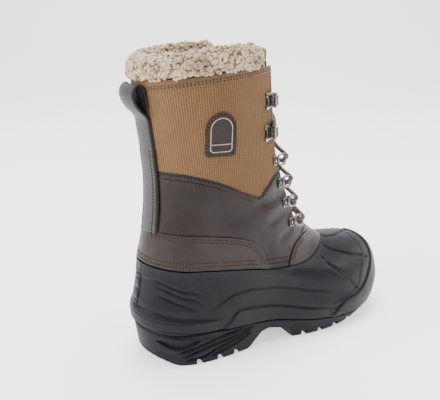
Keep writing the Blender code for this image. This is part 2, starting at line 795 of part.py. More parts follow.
def build_strap(look, group):
    """The back stay, and the pull loop at its top, in one strip."""
    turns = np.linspace(-STRAP_TURN, STRAP_TURN, 5)
    rows = []
    for level, out in STRAP_PATH:
        close = min(out, STRAP_CLOSE)
        row = UPPER_FORM.skin(turns, level, close * RELIEF)
        rows.append(row - np.array([(out - close) * RELIEF, 0, 0]))
    return thicken("back_strap", np.array(rows), STRAP_THICK / 2, look, group)


def frame_at(side, y, height):
    """A matrix on the upper's outside: forward, up and outward, at a width and a height."""
    levels = np.linspace(1.0, COLLAR_LEVEL, 400)
    turns = np.full(levels.shape, 0.42)
    for _ in range(12):
        points = UPPER_FORM.bare(turns, levels)
        turns = turns + (np.abs(points[:, 1]) - y) / (math.pi * BALL_WIDTH * 0.8)
    points = UPPER_FORM.bare(turns, levels)
    place = int(np.argmin(np.abs(points[:, 2] - height)))
    turn, level = turns[place], levels[place]
    if side > 0:
        turn = 1 - turn
    origin = UPPER_FORM.bare(turn, level)
    forward = (UPPER_FORM.bare(turn + 0.002, level) - UPPER_FORM.bare(turn - 0.002, level)) * -side
    forward /= np.linalg.norm(forward)
    outward = UPPER_FORM.normal(turn, level)
    upward = np.cross(outward, forward) * -side
    upward /= np.linalg.norm(upward)
    frame = Matrix.Identity(4)
    for column, axis in enumerate((forward, upward, outward)):
        frame.col[column][:3] = axis
    frame.translation = Vector(origin)
    return frame


def block(name, size, start, lift, frame, look, group):
    """A box lying on the upper: its size forward, up and outward, where it starts, and its lift."""
    length, width, thick = size
    centre = Vector((start + length / 2, 0, lift + thick / 2))
    mesh = bpy.data.meshes.new(name)
    work = bmesh.new()
    bmesh.ops.create_cube(work, size=1)
    mesh_frame = frame @ Matrix.Translation(centre) @ Matrix.Diagonal((length, width, thick, 1))
    work.transform(mesh_frame)
    bmesh.ops.triangulate(work, faces=work.faces)
    if work.calc_volume(signed=True) < 0:
        bmesh.ops.reverse_faces(work, faces=work.faces)
    work.to_mesh(mesh)
    work.free()
    return linked(name, mesh, look, group)


def wire_ring(name, frame, look, group):
    """A round wire loop, tilted up from the clip."""
    bpy.ops.mesh.primitive_torus_add(
        major_radius=RING_RADIUS,
        minor_radius=RING_WIRE,
        major_segments=RING_SEGMENTS,
        minor_segments=RING_SIDES,
    )
    mesh = bpy.context.object.data
    bpy.data.objects.remove(bpy.context.object)
    hinge = Vector((CLIP_PLATE[0] / 2 + RING_WIRE / 2, 0, GAP + CLIP_PLATE[2]))
    tilt = Matrix.Rotation(-math.radians(RING_TILT), 4, "Y")
    mesh.transform(frame @ Matrix.Translation(hinge) @ tilt @ Matrix.Translation((RING_RADIUS, 0, 0)))
    if frame.determinant() < 0:
        mesh.flip_normals()
    return linked(name, mesh, look, group)


def joined(name, pieces):
    """One solid from overlapping pieces, named as the first."""
    body, others = pieces[0], [as_cutter(piece) for piece in pieces[1:]]
    cut(body, others, "UNION")
    body.name = name
    return body


def build_ring_clip(name, side, height, look, group, cutters):
    """A loop held by a folded clip at the edge of the quarter."""
    frame = frame_at(side, RING_ACROSS * BALL_WIDTH, z_at(height))
    plate = block(name, CLIP_PLATE, -CLIP_PLATE[0] / 2, GAP, frame, look, group)
    hinge = block(f"{name}_hinge", CLIP_HINGE, CLIP_HINGE_AT, GAP + CLIP_HINGE_LIFT, frame, look, cutters)
    loop = wire_ring(f"{name}_loop", frame, look, cutters)
    return joined(name, [plate, hinge, loop])


def build_hook(name, side, across, height, look, group, cutters):
    """A speed hook: a plate with a lip bent back over itself."""
    frame = frame_at(side, across * BALL_WIDTH, z_at(height))
    stem_lift = GAP + HOOK_PLATE[2] - HOOK_STEM_SINK
    plate = block(name, HOOK_PLATE, -HOOK_PLATE[0] / 2, GAP, frame, look, group)
    stem = block(f"{name}_stem", HOOK_STEM, HOOK_STEM_AT, stem_lift, frame, look, cutters)
    lip = block(f"{name}_lip", HOOK_LIP, HOOK_LIP_AT, GAP + HOOK_LIP_LIFT, frame, look, cutters)
    return joined(name, [plate, stem, lip])


def lace_point(y, height, out):
    """A point over the throat: its side, its height, and how far it stands off the tongue's line."""
    levels = np.linspace(1.0, COLLAR_LEVEL, 500)
    front = UPPER_FORM.bare(0.5, levels)
    place = int(np.argmin(np.abs(front[:, 2] - height)))
    level = levels[place]
    beside = UPPER_FORM.bare(0.42, level)
    drop = (front[place, 0] - beside[0]) * (y / beside[1]) ** 2
    return np.array([front[place, 0] - drop, y, front[place, 2]]) + UPPER_FORM.normal(0.5, level) * out


def strand(name, start, end, look, group, over=0.0):
    """A lace strand across the throat between two (side, height) places, lifted at the middle by over."""
    curve = bpy.data.curves.new(name, "CURVE")
    curve.dimensions = "3D"
    curve.bevel_depth = LACE_RADIUS
    curve.bevel_resolution = 2
    curve.use_fill_caps = True
    spline = curve.splines.new("POLY")
    spline.points.add(LACE_POINTS - 1)
    for point, share in zip(spline.points, np.linspace(0, 1, LACE_POINTS)):
        y = start[0] + (end[0] - start[0]) * share
        height = start[1] + (end[1] - start[1]) * share
        bow = (2 * share - 1) ** 2
        point.co = (*lace_point(y, height, LACE_BOW * bow + over * (1 - bow)), 1)
    path = bpy.data.objects.new(f"{name}_path", curve)
    group.objects.link(path)
    mesh = plain_mesh(path)
    bpy.data.objects.remove(path)
    return linked(name, mesh, look, group)


def build_laces(look, group, cutters):
    """The crossings between the rows, with the straight bar in the lowest."""
    rows = [z_at(row) for row in RING_ROWS + HOOK_ROWS]
    for number, (low, high) in enumerate(zip(rows, rows[1:])):
        name = f"lace_cross_{number + 1}"
        low, high = low + (LACE_STEP if number else LACE_FIRST_STEP), high - LACE_STEP
        over = LACE_RADIUS * LACE_OVER
        strands = [
            strand(name, (-LACE_REACH, low), (LACE_REACH, high), look, group),
            strand(f"{name}_over", (LACE_REACH, low), (-LACE_REACH, high), look, cutters, over),
        ]
        if number == 0:
            ends = (-LACE_REACH, rows[0]), (LACE_REACH, rows[0])
            strands.append(strand(f"{name}_bar", *ends, look, cutters))
        joined(name, strands)


def main():
    clear_scene()
    boot = collection("fleece_lined_pac_boot")
    cutters = collection("cutters", hidden=True)
    looks = {finish[0]: material(*finish) for finish in FINISHES}
    build_outsole(looks["outsole_rubber"], boot, cutters)
    build_shell(looks["shell_rubber"], boot)
    build_upper(looks["upper_leather"], boot, cutters)
    build_tongue(looks["tongue_nylon"], boot)
    build_insole(looks["insole_felt"], boot)
    build_fleece(looks["fleece"], boot)
    build_counter(looks["counter_leather"], boot, cutters)
    build_vamp(looks["vamp_leather"], boot, cutters)
    build_badge(looks["badge_leather"], boot, cutters)
    build_binding(looks["binding_nylon"], boot, cutters)
    build_strap(looks["strap_tape"], boot)
    for side, word in ((-1, "lateral"), (1, "medial")):
        for number, height in enumerate(RING_ROWS):
            name = f"lace_ring_{word}_{number + 1}"
            build_ring_clip(name, side, height, looks["ring_metal"], boot, cutters)
        for number, (height, across) in enumerate(zip(HOOK_ROWS, HOOK_ACROSS)):
            name = f"lace_hook_{word}_{number + 1}"
            build_hook(name, side, across, height, looks["hook_metal"], boot, cutters)
    build_laces(looks["lace_cord"], boot, cutters)


main()
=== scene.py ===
"""Looks of a fleece-lined pac boot for the right foot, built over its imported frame."""

import math
from contextlib import contextmanager

import bmesh
import bpy
import numpy as np
from mathutils import Matrix, Vector


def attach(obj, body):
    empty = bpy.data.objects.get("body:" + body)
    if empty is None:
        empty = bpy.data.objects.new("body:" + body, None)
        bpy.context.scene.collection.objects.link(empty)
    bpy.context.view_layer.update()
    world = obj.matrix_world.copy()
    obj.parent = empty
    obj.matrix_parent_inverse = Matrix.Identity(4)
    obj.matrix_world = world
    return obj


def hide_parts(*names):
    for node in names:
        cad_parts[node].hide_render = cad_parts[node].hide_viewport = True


bl_info = {
    "name": "Fleece-lined pac boot",
    "version": (1, 0, 0),
    "blender": (4, 5, 0),
    "location": "View3D > Sidebar > Boot",
    "description": "Rubber, leather, nylon, fleece, lacing and stage of a winter boot",
    "category": "Object",
}

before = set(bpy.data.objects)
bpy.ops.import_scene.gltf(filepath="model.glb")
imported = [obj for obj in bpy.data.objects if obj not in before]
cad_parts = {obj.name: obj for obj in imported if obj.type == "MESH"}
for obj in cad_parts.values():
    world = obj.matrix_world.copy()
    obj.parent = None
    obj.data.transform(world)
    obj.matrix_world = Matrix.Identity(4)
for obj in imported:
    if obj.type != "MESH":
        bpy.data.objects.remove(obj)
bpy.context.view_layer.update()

# Driving sizes, in metres, as the part has them
LENGTH = 0.302
BALL_WIDTH = 0.112
SHELL_HEIGHT = 0.100
SHAFT_HEIGHT = 0.164
UPPER_WALL = 0.0022
SHELL_WALL = 0.0032
RIM_SEAT = 0.0005
ORIGIN_SHARE = 0.4915
MM = 0.001

# Skins are drawn this finely: columns round the boot, rows up a piece
SOLE_COLUMNS = 480
SHAFT_COLUMNS = 360

STATIONS = (0.0, 0.1, 0.24, 0.42, 0.6, 0.8, 1.0)
MEDIAL_CURVE = (0.0, 0.02, 0.07, 0.19, 0.17, -0.03, -0.12)

# Rubber rings: ends as shares of LENGTH, heights of SHELL_HEIGHT, fullness of BALL_WIDTH
RUBBER = (
    # name, back, front, medial share, heights at the stations, fullness at the stations
    (
        "tread", 0.03, 0.95, 1,
        (0.09, 0, 0, 0, 0, 0.035, 0.15),
        (0.61, 0.55, 0.45, 0.375, 0.48, 0.56, 0.56),
    ),
    (
        "groove", 0.016, 0.972, 1,
        (0.4, 0.365, 0.31, 0.255, 0.18, 0.125, 0.26),
        (0.64, 0.58, 0.47, 0.395, 0.505, 0.59, 0.61),
    ),
    (
        "ridge", 0.013, 0.977, 1,
        (0.58, 0.53, 0.45, 0.445, 0.31, 0.24, 0.38),
        (0.64, 0.58, 0.475, 0.4, 0.51, 0.595, 0.62),
    ),
    (
        "arc", 0.02, 0.969, 0.8,
        (0.7, 0.66, 0.62, 0.61, 0.44, 0.37, 0.49),
        (0.62, 0.56, 0.465, 0.41, 0.49, 0.58, 0.61),
    ),
    (
        "flank", 0.026, 0.944, 0.6,
        (0.8, 0.77, 0.74, 0.685, 0.585, 0.53, 0.65),
        (0.6, 0.545, 0.455, 0.42, 0.47, 0.55, 0.59),
    ),
    (
        "crown", 0.03, 0.893, 0.4,
        (0.87, 0.845, 0.815, 0.75, 0.665, 0.635, 0.765),
        (0.57, 0.535, 0.45, 0.425, 0.45, 0.515, 0.55),
    ),
    (
        "vault", 0.033, 0.82, 0.25,
        (0.92, 0.895, 0.865, 0.805, 0.725, 0.715, 0.81),
        (0.55, 0.525, 0.445, 0.43, 0.435, 0.46, 0.485),
    ),
    (
        "rim", 0.035, 0.722, 0.15,
        (0.98, 0.955, 0.925, 0.875, 0.795, 0.755, 0.85),
        (0.535, 0.515, 0.445, 0.43, 0.43, 0.415, 0.375),
    ),
)
RIM_HEIGHTS = RUBBER[-1][4]

# Upper rings: heights above the shell's rim, as shares of SHAFT_HEIGHT
UPPER = (
    # name, back, front, medial share, heights at the stations, fullness at the stations
    (
        "feather", 0.041, 0.716, 0.15,
        (0, 0, 0, 0, 0, 0, 0),
        (0.52, 0.5, 0.433, 0.415, 0.415, 0.4, 0.365),
    ),
    (
        "counter", 0.05, 0.672, 0.1,
        (0.082, 0.086, 0.085, 0.091, 0.103, 0.098, 0.058),
        (0.5, 0.48, 0.428, 0.41, 0.4, 0.385, 0.357),
    ),
    (
        "heel_cup", 0.064, 0.626, 0.08,
        (0.191, 0.195, 0.194, 0.196, 0.212, 0.213, 0.131),
        (0.48, 0.465, 0.424, 0.41, 0.397, 0.38, 0.357),
    ),
    (
        "ankle", 0.073, 0.584, 0.06,
        (0.314, 0.323, 0.33, 0.336, 0.354, 0.348, 0.259),
        (0.455, 0.446, 0.42, 0.41, 0.4, 0.384, 0.357),
    ),
    (
        "shin", 0.076, 0.543, 0.05,
        (0.449, 0.458, 0.463, 0.476, 0.501, 0.506, 0.424),
        (0.446, 0.438, 0.42, 0.415, 0.406, 0.393, 0.366),
    ),
    (
        "calf", 0.071, 0.512, 0.04,
        (0.589, 0.601, 0.61, 0.627, 0.658, 0.671, 0.594),
        (0.446, 0.442, 0.43, 0.424, 0.415, 0.402, 0.375),
    ),
    (
        "shaft", 0.061, 0.492, 0.03,
        (0.729, 0.744, 0.756, 0.78, 0.823, 0.836, 0.771),
        (0.455, 0.446, 0.438, 0.433, 0.424, 0.411, 0.384),
    ),
    (
        "cuff", 0.053, 0.48, 0.02,
        (0.863, 0.881, 0.903, 0.933, 0.985, 1.013, 0.955),
        (0.46, 0.455, 0.446, 0.442, 0.433, 0.42, 0.4),
    ),
    (
        "collar", 0.046, 0.47, 0,
        (0.979, 1.007, 1.039, 1.086, 1.143, 1.177, 1.122),
        (0.464, 0.46, 0.45, 0.446, 0.438, 0.428, 0.41),
    ),
    (
        "above", 0.04, 0.464, 0,
        (1.082, 1.108, 1.139, 1.183, 1.239, 1.272, 1.22),
        (0.47, 0.464, 0.455, 0.45, 0.442, 0.43, 0.41),
    ),
)
COLLAR_LEVEL = 8.0

# Stage: soft lights as name, place, width and height, power; and the camera
STUDIO = (
    ("key", (-1.5, 0.1, 1.0), (1.0, 1.2), 44),
    ("side", (0.5, -1.7, 1.5), (1.0, 1.0), 14),
    ("toe", (1.7, -0.5, 0.9), (0.8, 0.8), 16),
    ("top", (0.2, 0.3, 2.3), (1.5, 1.5), 92),
)
WORLD_STRENGTH = 0.42
FLOOR_GLOW = 0.85
FLOOR_REACH = (-4.0, -1.0, 1.6)
FLOOR_HALF_WIDTH = 5
BACKDROP_RADIUS = 0.9
BACKDROP_HEIGHT = 5.0
LIGHTS_AIM = (0, 0, 0.12)
CAMERA_SPOT = (-0.31033, -0.4391, 0.3052)
CAMERA_YAW = 30.37
CAMERA_PITCH = 17.73

# Colours that the panel doesn't offer
FLOOR_PALE = (0.95, 0.95, 0.955)
BADGE_LEATHER = (0.017, 0.0105, 0.009)
BADGE_LINE = (0.38, 0.31, 0.24)
BINDING = (0.095, 0.048, 0.020)
TONGUE_EDGE = (0.12, 0.07, 0.045)
STRAP_EDGE = (0.0085, 0.0050, 0.0045)
RING_METAL = (0.36, 0.35, 0.34)
HOOK_METAL = (0.42, 0.42, 0.42)
CLIP_DARK = (0.018, 0.016, 0.016)
LACE_DARK = (0.060, 0.042, 0.034)
LACE_LIGHT = (0.26, 0.20, 0.15)
# Painted shade: colour of the dark dots that stand for the shadow in each needle hole
NEEDLE_HOLE_SHADE = (0.012, 0.007, 0.006)
NYLON_THREAD = (0.17, 0.10, 0.055)
FELT = (0.28, 0.27, 0.26)

# Lines on the shell and sole, as (turn, level) places: heel 0, side 0.25, toe 0.5
RIM_STEP = (
    (0.0, 4.7), (0.04, 5.0), (0.10, 5.63), (0.14, 6.03), (0.20, 6.30),
    (0.27, 6.58), (0.31, 6.60), (0.36, 6.75), (0.42, 6.95), (0.5, 7.0),
)
BUMPER_TOP = (
    (0.0, 1.95), (0.02, 1.93), (0.047, 1.95), (0.067, 1.85), (0.084, 1.81),
    (0.10, 1.80), (0.129, 1.87), (0.15, 1.88), (0.17, 1.75),
)
BUMPER_CREASE = (
    (0.0, 1.62), (0.046, 1.54), (0.066, 1.50), (0.083, 1.52), (0.099, 1.54),
    (0.114, 1.64), (0.129, 1.78), (0.143, 1.82), (0.17, 1.75),
)
FOXING_TOP = (
    (0.160, 1.05), (0.164, 1.21), (0.170, 1.52), (0.177, 1.96), (0.184, 2.12), (0.198, 2.06),
    (0.212, 1.92), (0.237, 1.77), (0.260, 1.82), (0.284, 1.88), (0.303, 1.67), (0.318, 1.40),
)
SIDE_ARC = (
    (0.145, 2.35), (0.152, 2.57), (0.159, 2.79), (0.169, 3.02), (0.183, 3.23), (0.197, 3.27),
    (0.210, 3.18), (0.223, 3.02), (0.235, 2.98), (0.247, 3.10), (0.260, 3.25), (0.285, 3.25), (0.31, 3.0),
)
TOE_EDGE = (
    (0.300, 1.20), (0.305, 1.46), (0.314, 1.96), (0.322, 2.34), (0.343, 2.57), (0.357, 2.75),
    (0.374, 3.06), (0.392, 3.38), (0.420, 3.85), (0.440, 4.35), (0.454, 4.66), (0.479, 5.0), (0.5, 5.05),
)
TOE_CHAMFER = (
    (0.295, 2.01), (0.314, 2.41), (0.333, 2.81), (0.353, 3.14), (0.372, 3.84), (0.397, 4.42),
    (0.430, 5.0), (0.460, 5.5), (0.5, 5.6),
)
TOE_RIBS = (
    ((0.370, 6.64), (0.339, 5.57), (0.333, 4.56), (0.340, 3.68), (0.345, 3.27), (0.349, 2.89)),
    ((0.418, 6.87), (0.400, 6.45), (0.391, 5.89), (0.390, 5.29), (0.400, 4.47), (0.408, 4.03)),
    ((0.486, 6.95), (0.462, 6.78), (0.469, 6.41), (0.491, 5.89), (0.520, 5.01)),
    ((0.575, 6.87), (0.590, 6.45), (0.600, 5.89), (0.602, 5.29), (0.594, 4.47), (0.588, 4.10)),
    ((0.632, 6.64), (0.662, 5.57), (0.668, 4.56), (0.662, 3.68), (0.657, 3.27), (0.652, 2.89)),
)
SWEEP_DEPTH = 0.7 * MM
SWEEP_WIDTH = 1.3 * MM
HEEL_SWEEPS = (
    ((0.050, 4.9), (0.073, 4.5), (0.098, 4.0), (0.120, 3.75), (0.138, 3.3)),
    ((0.050, 4.2), (0.073, 3.94), (0.098, 3.45), (0.120, 3.21), (0.135, 2.75)),
    ((0.050, 3.4), (0.073, 3.2), (0.098, 2.85), (0.118, 2.55), (0.130, 2.3)),
)
GROOVE_LINE = (
    (0.0, 0.86), (0.012, 0.85), (0.042, 0.84), (0.062, 0.80), (0.081, 0.80), (0.097, 0.83),
    (0.113, 0.87), (0.128, 0.93), (0.142, 0.97), (0.157, 1.0), (0.30, 1.0), (0.5, 1.0),
)
CRESCENT_TOP = ((0.050, 0.57), (0.071, 0.62), (0.088, 0.65), (0.104, 0.67), (0.12, 0.70), (0.13, 0.72))
CRESCENT_LOW = (
    (0.050, 0.57), (0.064, 0.49), (0.078, 0.43), (0.092, 0.43), (0.105, 0.48), (0.119, 0.58), (0.13, 0.72),
)
WAIST_RIB_DEPTH = 2.1 * MM
WAIST_RIB_WIDTH = 1.15 * MM
WAIST_RIBS = (
    (
        (0.091, 0.35), (0.105, 0.41), (0.119, 0.49), (0.134, 0.59), (0.149, 0.67), (0.177, 0.81),
        (0.206, 0.91),
    ),
    (
        (0.097, 0.22), (0.111, 0.31), (0.126, 0.41), (0.142, 0.49), (0.156, 0.55), (0.184, 0.70),
        (0.203, 0.86),
    ),
    (
        (0.099, 0.15), (0.126, 0.20), (0.138, 0.26), (0.149, 0.36), (0.170, 0.48), (0.184, 0.60),
        (0.201, 0.78),
    ),
    ((0.140, 0.17), (0.155, 0.25), (0.170, 0.34), (0.185, 0.46), (0.200, 0.66)),
)
LOW_BAND = ((0.0, 0.15), (0.032, 0.14), (0.056, 0.11), (0.076, 0.09), (0.1, 0.07), (0.13, 0.09), (0.15, 0.1))
TREAD_STEP = (
    (0.235, 0.40), (0.245, 0.56), (0.251, 0.68), (0.256, 0.78), (0.262, 0.83), (0.287, 0.79), (0.30, 0.84),
    (0.34, 0.86), (0.40, 0.84), (0.5, 0.80),
)
FINE_PATCH = (0.052, 0.084, 0.17, 0.30)  # turns from and to, levels from and to

# Relief heights on the rubber
BUMPER_OUT = 3.0 * MM
BUMPER_LIP = 1.1 * MM
FOXING_OUT = 1.3 * MM
ARC_OUT = 0.9 * MM
TOE_OUT = 1.4 * MM
TOE_SOFT_OUT = 0.5 * MM
RIM_OUT = 0.8 * MM
RIB_DEPTH = 0.0018
RIB_WIDTH = 1.5 * MM
STRIP_HALF = 5.0 * MM
STRIP_OUT = 1.0 * MM
SCALLOP_PITCH = 10.5 * MM
CRESCENT_DEPTH = 2.8 * MM
SOLE_LEDGE = 1.4 * MM

# Tread
LUG_DEPTH = 0.0055
GROOVE_WIDTH = 0.0062
GROOVE_SWEEP = 0.007
CENTRE_GROOVE_WIDTH = 0.007
HEEL_FIELD = (0.10, 0.33)
FORE_FIELD = (0.53, 0.90)
HEEL_GROOVES = (0.149, 0.219, 0.278)
FORE_GROOVES = (0.536, 0.599, 0.662, 0.725, 0.801, 0.877)
ARCH_PROFILE = (
    (0.325, -0.06), (0.339, 0.0), (0.364, 0.07), (0.390, 0.145), (0.417, 0.165),
    (0.457, 0.14), (0.493, 0.11), (0.506, 0.03), (0.512, -0.06),
)
FOOT_BED = (0.33, 0.325, 0.31, 0.26, 0.19, 0.15, 0.25)

# Lines on the upper, as (turn, level) places
YOKE_LINE = (
    (0.0, 4.50), (0.043, 4.51), (0.07, 4.53), (0.11, 4.53), (0.156, 4.45), (0.187, 4.34), (0.214, 4.17),
    (0.239, 3.97), (0.262, 3.82), (0.277, 3.75), (0.288, 3.76), (0.299, 3.90), (0.316, 4.11), (0.343, 4.38),
    (0.382, 4.58), (0.433, 4.71), (0.5, 4.75),
)
COUNTER_EDGE = (
    (0.0, 1.96), (0.053, 1.97), (0.08, 1.97), (0.103, 2.0), (0.146, 2.03), (0.184, 2.02), (0.213, 1.98),
    (0.232, 1.89), (0.245, 1.75), (0.256, 1.50), (0.2615, 1.15), (0.2625, 0.7), (0.2625, 0.0),
)
VAMP_EDGE = (
    (0.305, 0.0), (0.307, 0.18), (0.315, 0.47), (0.331, 0.92), (0.349, 1.24), (0.373, 1.42), (0.404, 1.50),
    (0.44, 1.41),
)
LOWER_STITCH = (
    (0.0, 0.22), (0.04, 0.22), (0.086, 0.22), (0.126, 0.25), (0.163, 0.30), (0.2, 0.31), (0.24, 0.31),
    (0.289, 0.33), (0.337, 0.31), (0.372, 0.31), (0.42, 0.30), (0.46, 0.29), (0.5, 0.29),
)
BINDING_FOOT = ((0.0, 7.62), (0.157, 7.66), (0.25, 7.69), (0.342, 7.76), (0.5, 7.78))
BINDING_STITCH = ((0.0, 7.68), (0.157, 7.72), (0.25, 7.75), (0.342, 7.82), (0.40, 7.84))
BINDING_TOP = 8.03
BINDING_OUT = 0.95 * MM
BINDING_THICK = 0.9 * MM
NYLON_OVERLAP = 0.35
LINING_LEVELS = (0.1, 7.7)
LINING_SLACK = 1.03
DOUBLE_ROW = 0.27
ON_OVERLAY = 1.95 * MM
THROAT_HALF = 0.0250
THROAT_RISE = 0.004
THROAT_RADIUS = 0.014
THROAT_FLARE = 0.003
THROAT_TOP = 1.6
OVERLAY_LEVELS = (0.03, 2.3)
OVERLAY_OUT = 0.6 * MM
OVERLAY_THICK = 1.3 * MM
BADGE_WIDTH = 0.027
BADGE_HEIGHT = 0.037
BADGE_CENTRE = (0.229, 0.710)
BADGE_CORNER = 3 * MM
BADGE_INSET = 4.2 * MM
BADGE_BAR_RISE = 10.5 * MM
BADGE_LINE_OUT = 1.25 * MM

# Creases pressed into the leather by the ankle: places, then depth and width in millimetres
ANKLE_CREASES = (
    (((0.275, 2.45), (0.315, 2.75), (0.36, 3.0), (0.40, 3.05)), 1.0, 5.0),
    (((0.255, 3.35), (0.30, 3.55), (0.345, 3.6), (0.395, 3.5)), 0.9, 6.0),
    (((0.20, 2.75), (0.235, 2.9), (0.275, 3.1)), 0.5, 7.0),
    (((0.30, 1.6), (0.335, 1.95), (0.375, 2.15)), 0.7, 4.5),
    (((0.09, 3.0), (0.13, 3.15), (0.17, 3.05)), 0.5, 8.0),
)
ANKLE_PUFFS = (
    (((0.27, 2.9), (0.32, 3.15), (0.38, 3.3)), 0.7, 5.5),
    (((0.24, 3.8), (0.30, 3.95), (0.36, 3.9)), 0.6, 7.0),
)

# Lacing
RING_ROWS = (0.111, 0.243, 0.367, 0.504)
HOOK_ROWS = (0.678, 0.847)
HOOK_ACROSS = (0.304, 0.281)
RING_ACROSS = 0.272
RING_RADIUS = 0.0046
RING_WIRE = 0.0011
RING_TILT = 35
LACE_RADIUS = 0.0021
LACE_SQUEEZE = 0.95
CROSSING_HALF = 0.0125

# Blocks of the clips, in millimetres: name, size forward, up and outward, where it starts, how far
# across and how far out it sits, its rounding, and whether it is bare metal
RING_BLOCKS = (
    ("plate", (10.0, 8.4, 0.9), -5.4, 0, 0, 0.35, True),
    ("fold", (3.4, 5.6, 2.7), 3.2, 0, 0.1, 0.8, True),
    ("tab", (7.4, 6.4, 0.7), -5.0, 0, 0.8, 0.3, False),
)
HOOK_BLOCKS = (
    ("pad", (13.2, 14.4, 0.6), -9.4, 0, -0.2, 0.25, False),
    ("middle", (8.8, 10.4, 1.7), -7.4, 0, 0.5, 0.6, False),
    ("cap", (6.4, 8.6, 0.8), -4.2, 0, 6.9, 0.35, False),
    ("ear", (5.6, 3.8, 1.0), -11.0, 5.2, 0, 0.4, True),
    ("ear", (5.6, 3.8, 1.0), -11.0, -5.2, 0, 0.4, True),
)

# The hook's bent strip: forward and outward, in millimetres
HOOK_PROFILE = (
    (-7.4, 0.6), (0.5, 0.6), (3.0, 0.9), (4.3, 2.2), (4.4, 4.2), (3.4, 6.0), (0.8, 6.7), (-2.6, 6.8),
    (-4.6, 7.4),
)

# The lace's steps past its anchor: forward, up and outward, in millimetres
THROUGH_RING = ((0.8, -1.6, -1.9), (-0.4, 0.8, 0.6), (1.6, 3.2, 1.9))
ROUND_HOOK = ((2.6, -5.2, 0.2), (-1.4, -2.4, 0), (-1.4, 2.4, 0), (2.6, 5.2, 0.2))

TONGUE_LEVELS = (0.95, 8.8)
TONGUE_TURN = 5 / 48
TONGUE_THICK = 0.0035
TONGUE_CORNER = 0.35
LEVEL_RISE = 0.021
FLEECE_TURN = 0.386
CUFF_SHARE = 0.91
STRAP_TURN = 0.046
STRAP_CLOSE = 1.2
STRAP_THICK = 0.0017
STRAP_ROWS = 90
PIPE_RADIUS = 1.9 * MM
PIPE_FLAT = 0.62
STRAP_SEWN_ROWS = 52

# Stitches and curls
HOLE_SHARE = 1.35
LONGER_THAN_ANY_ROW = 10.0
CURL_TURN = (0.9, 3.14)
CURL_SIZES = (0.75, 1.3)
CURL_DENSITY = 260000.0
CURL_SEED = 4

CUFF_COLUMNS = 150
CUFF_ROUNDS = 40
CUFF_END_COLUMNS = 7
CUFF_LUMP = 0.05

# The cuff's section: outward and up from the collar edge, in millimetres
FLEECE_CENTRE = (-5.0, 4.0)
FLEECE_SECTION = (
    (-2.8, -16.0), (-2.8, -2.0), (-2.8, 1.0), (2.4, 1.6), (4.2, 6.5), (3.6, 13.0), (0.0, 18.5),
    (-5.5, 20.5), (-11.0, 17.5), (-14.0, 9.5), (-13.5, 0.0), (-12.0, -10.0), (-8.0, -16.5),
)

# The back strap's path: level of the upper, then how far its middle stands off, in millimetres
STRAP_PATH = (
    (1.78, 0.4), (2.05, 0.9), (2.36, 1.2), (3.2, 1.2), (4.0, 1.2), (5.0, 1.2), (6.0, 1.2), (6.4, 1.4),
    (6.62, 3.6), (6.85, 8.0), (7.15, 11.3), (7.45, 11.8), (7.72, 9.6), (7.84, 6.0), (7.74, 3.0),
    (7.4, 1.8), (7.1, 1.3), (6.9, 1.3),
)


def smooth(knots, values, at):
    """A monotone curve through the knots; values hold one column per place in at."""
    knots = np.asarray(knots, float)
    at = np.atleast_1d(np.asarray(at, float))
    values = np.asarray(values, float)
    if values.ndim == 1:
        values = np.repeat(values[:, None], len(at), axis=1)
    steps = np.diff(knots)[:, None]
    slopes = np.diff(values, axis=0) / steps
    before, after = slopes[:-1], slopes[1:]
    agree = before * after > 0
    safe = np.where(agree, before + after, 1.0)
    inner = np.where(agree, 2 * before * after / safe, 0.0)
    tangents = np.concatenate([slopes[:1], inner, slopes[-1:]])
    place = np.clip(np.searchsorted(knots, at, side="right") - 1, 0, len(knots) - 2)
    column = np.arange(len(at))
    width = np.diff(knots)[place]
    t = (at - knots[place]) / width
    low, high = values[place, column], values[place + 1, column]
    start, end = tangents[place, column] * width, tangents[place + 1, column] * width
    return (
        (1 + 2 * t) * (1 - t) ** 2 * low
        + t * (1 - t) ** 2 * start
        + t * t * (3 - 2 * t) * high
        + t * t * (t - 1) * end
    )


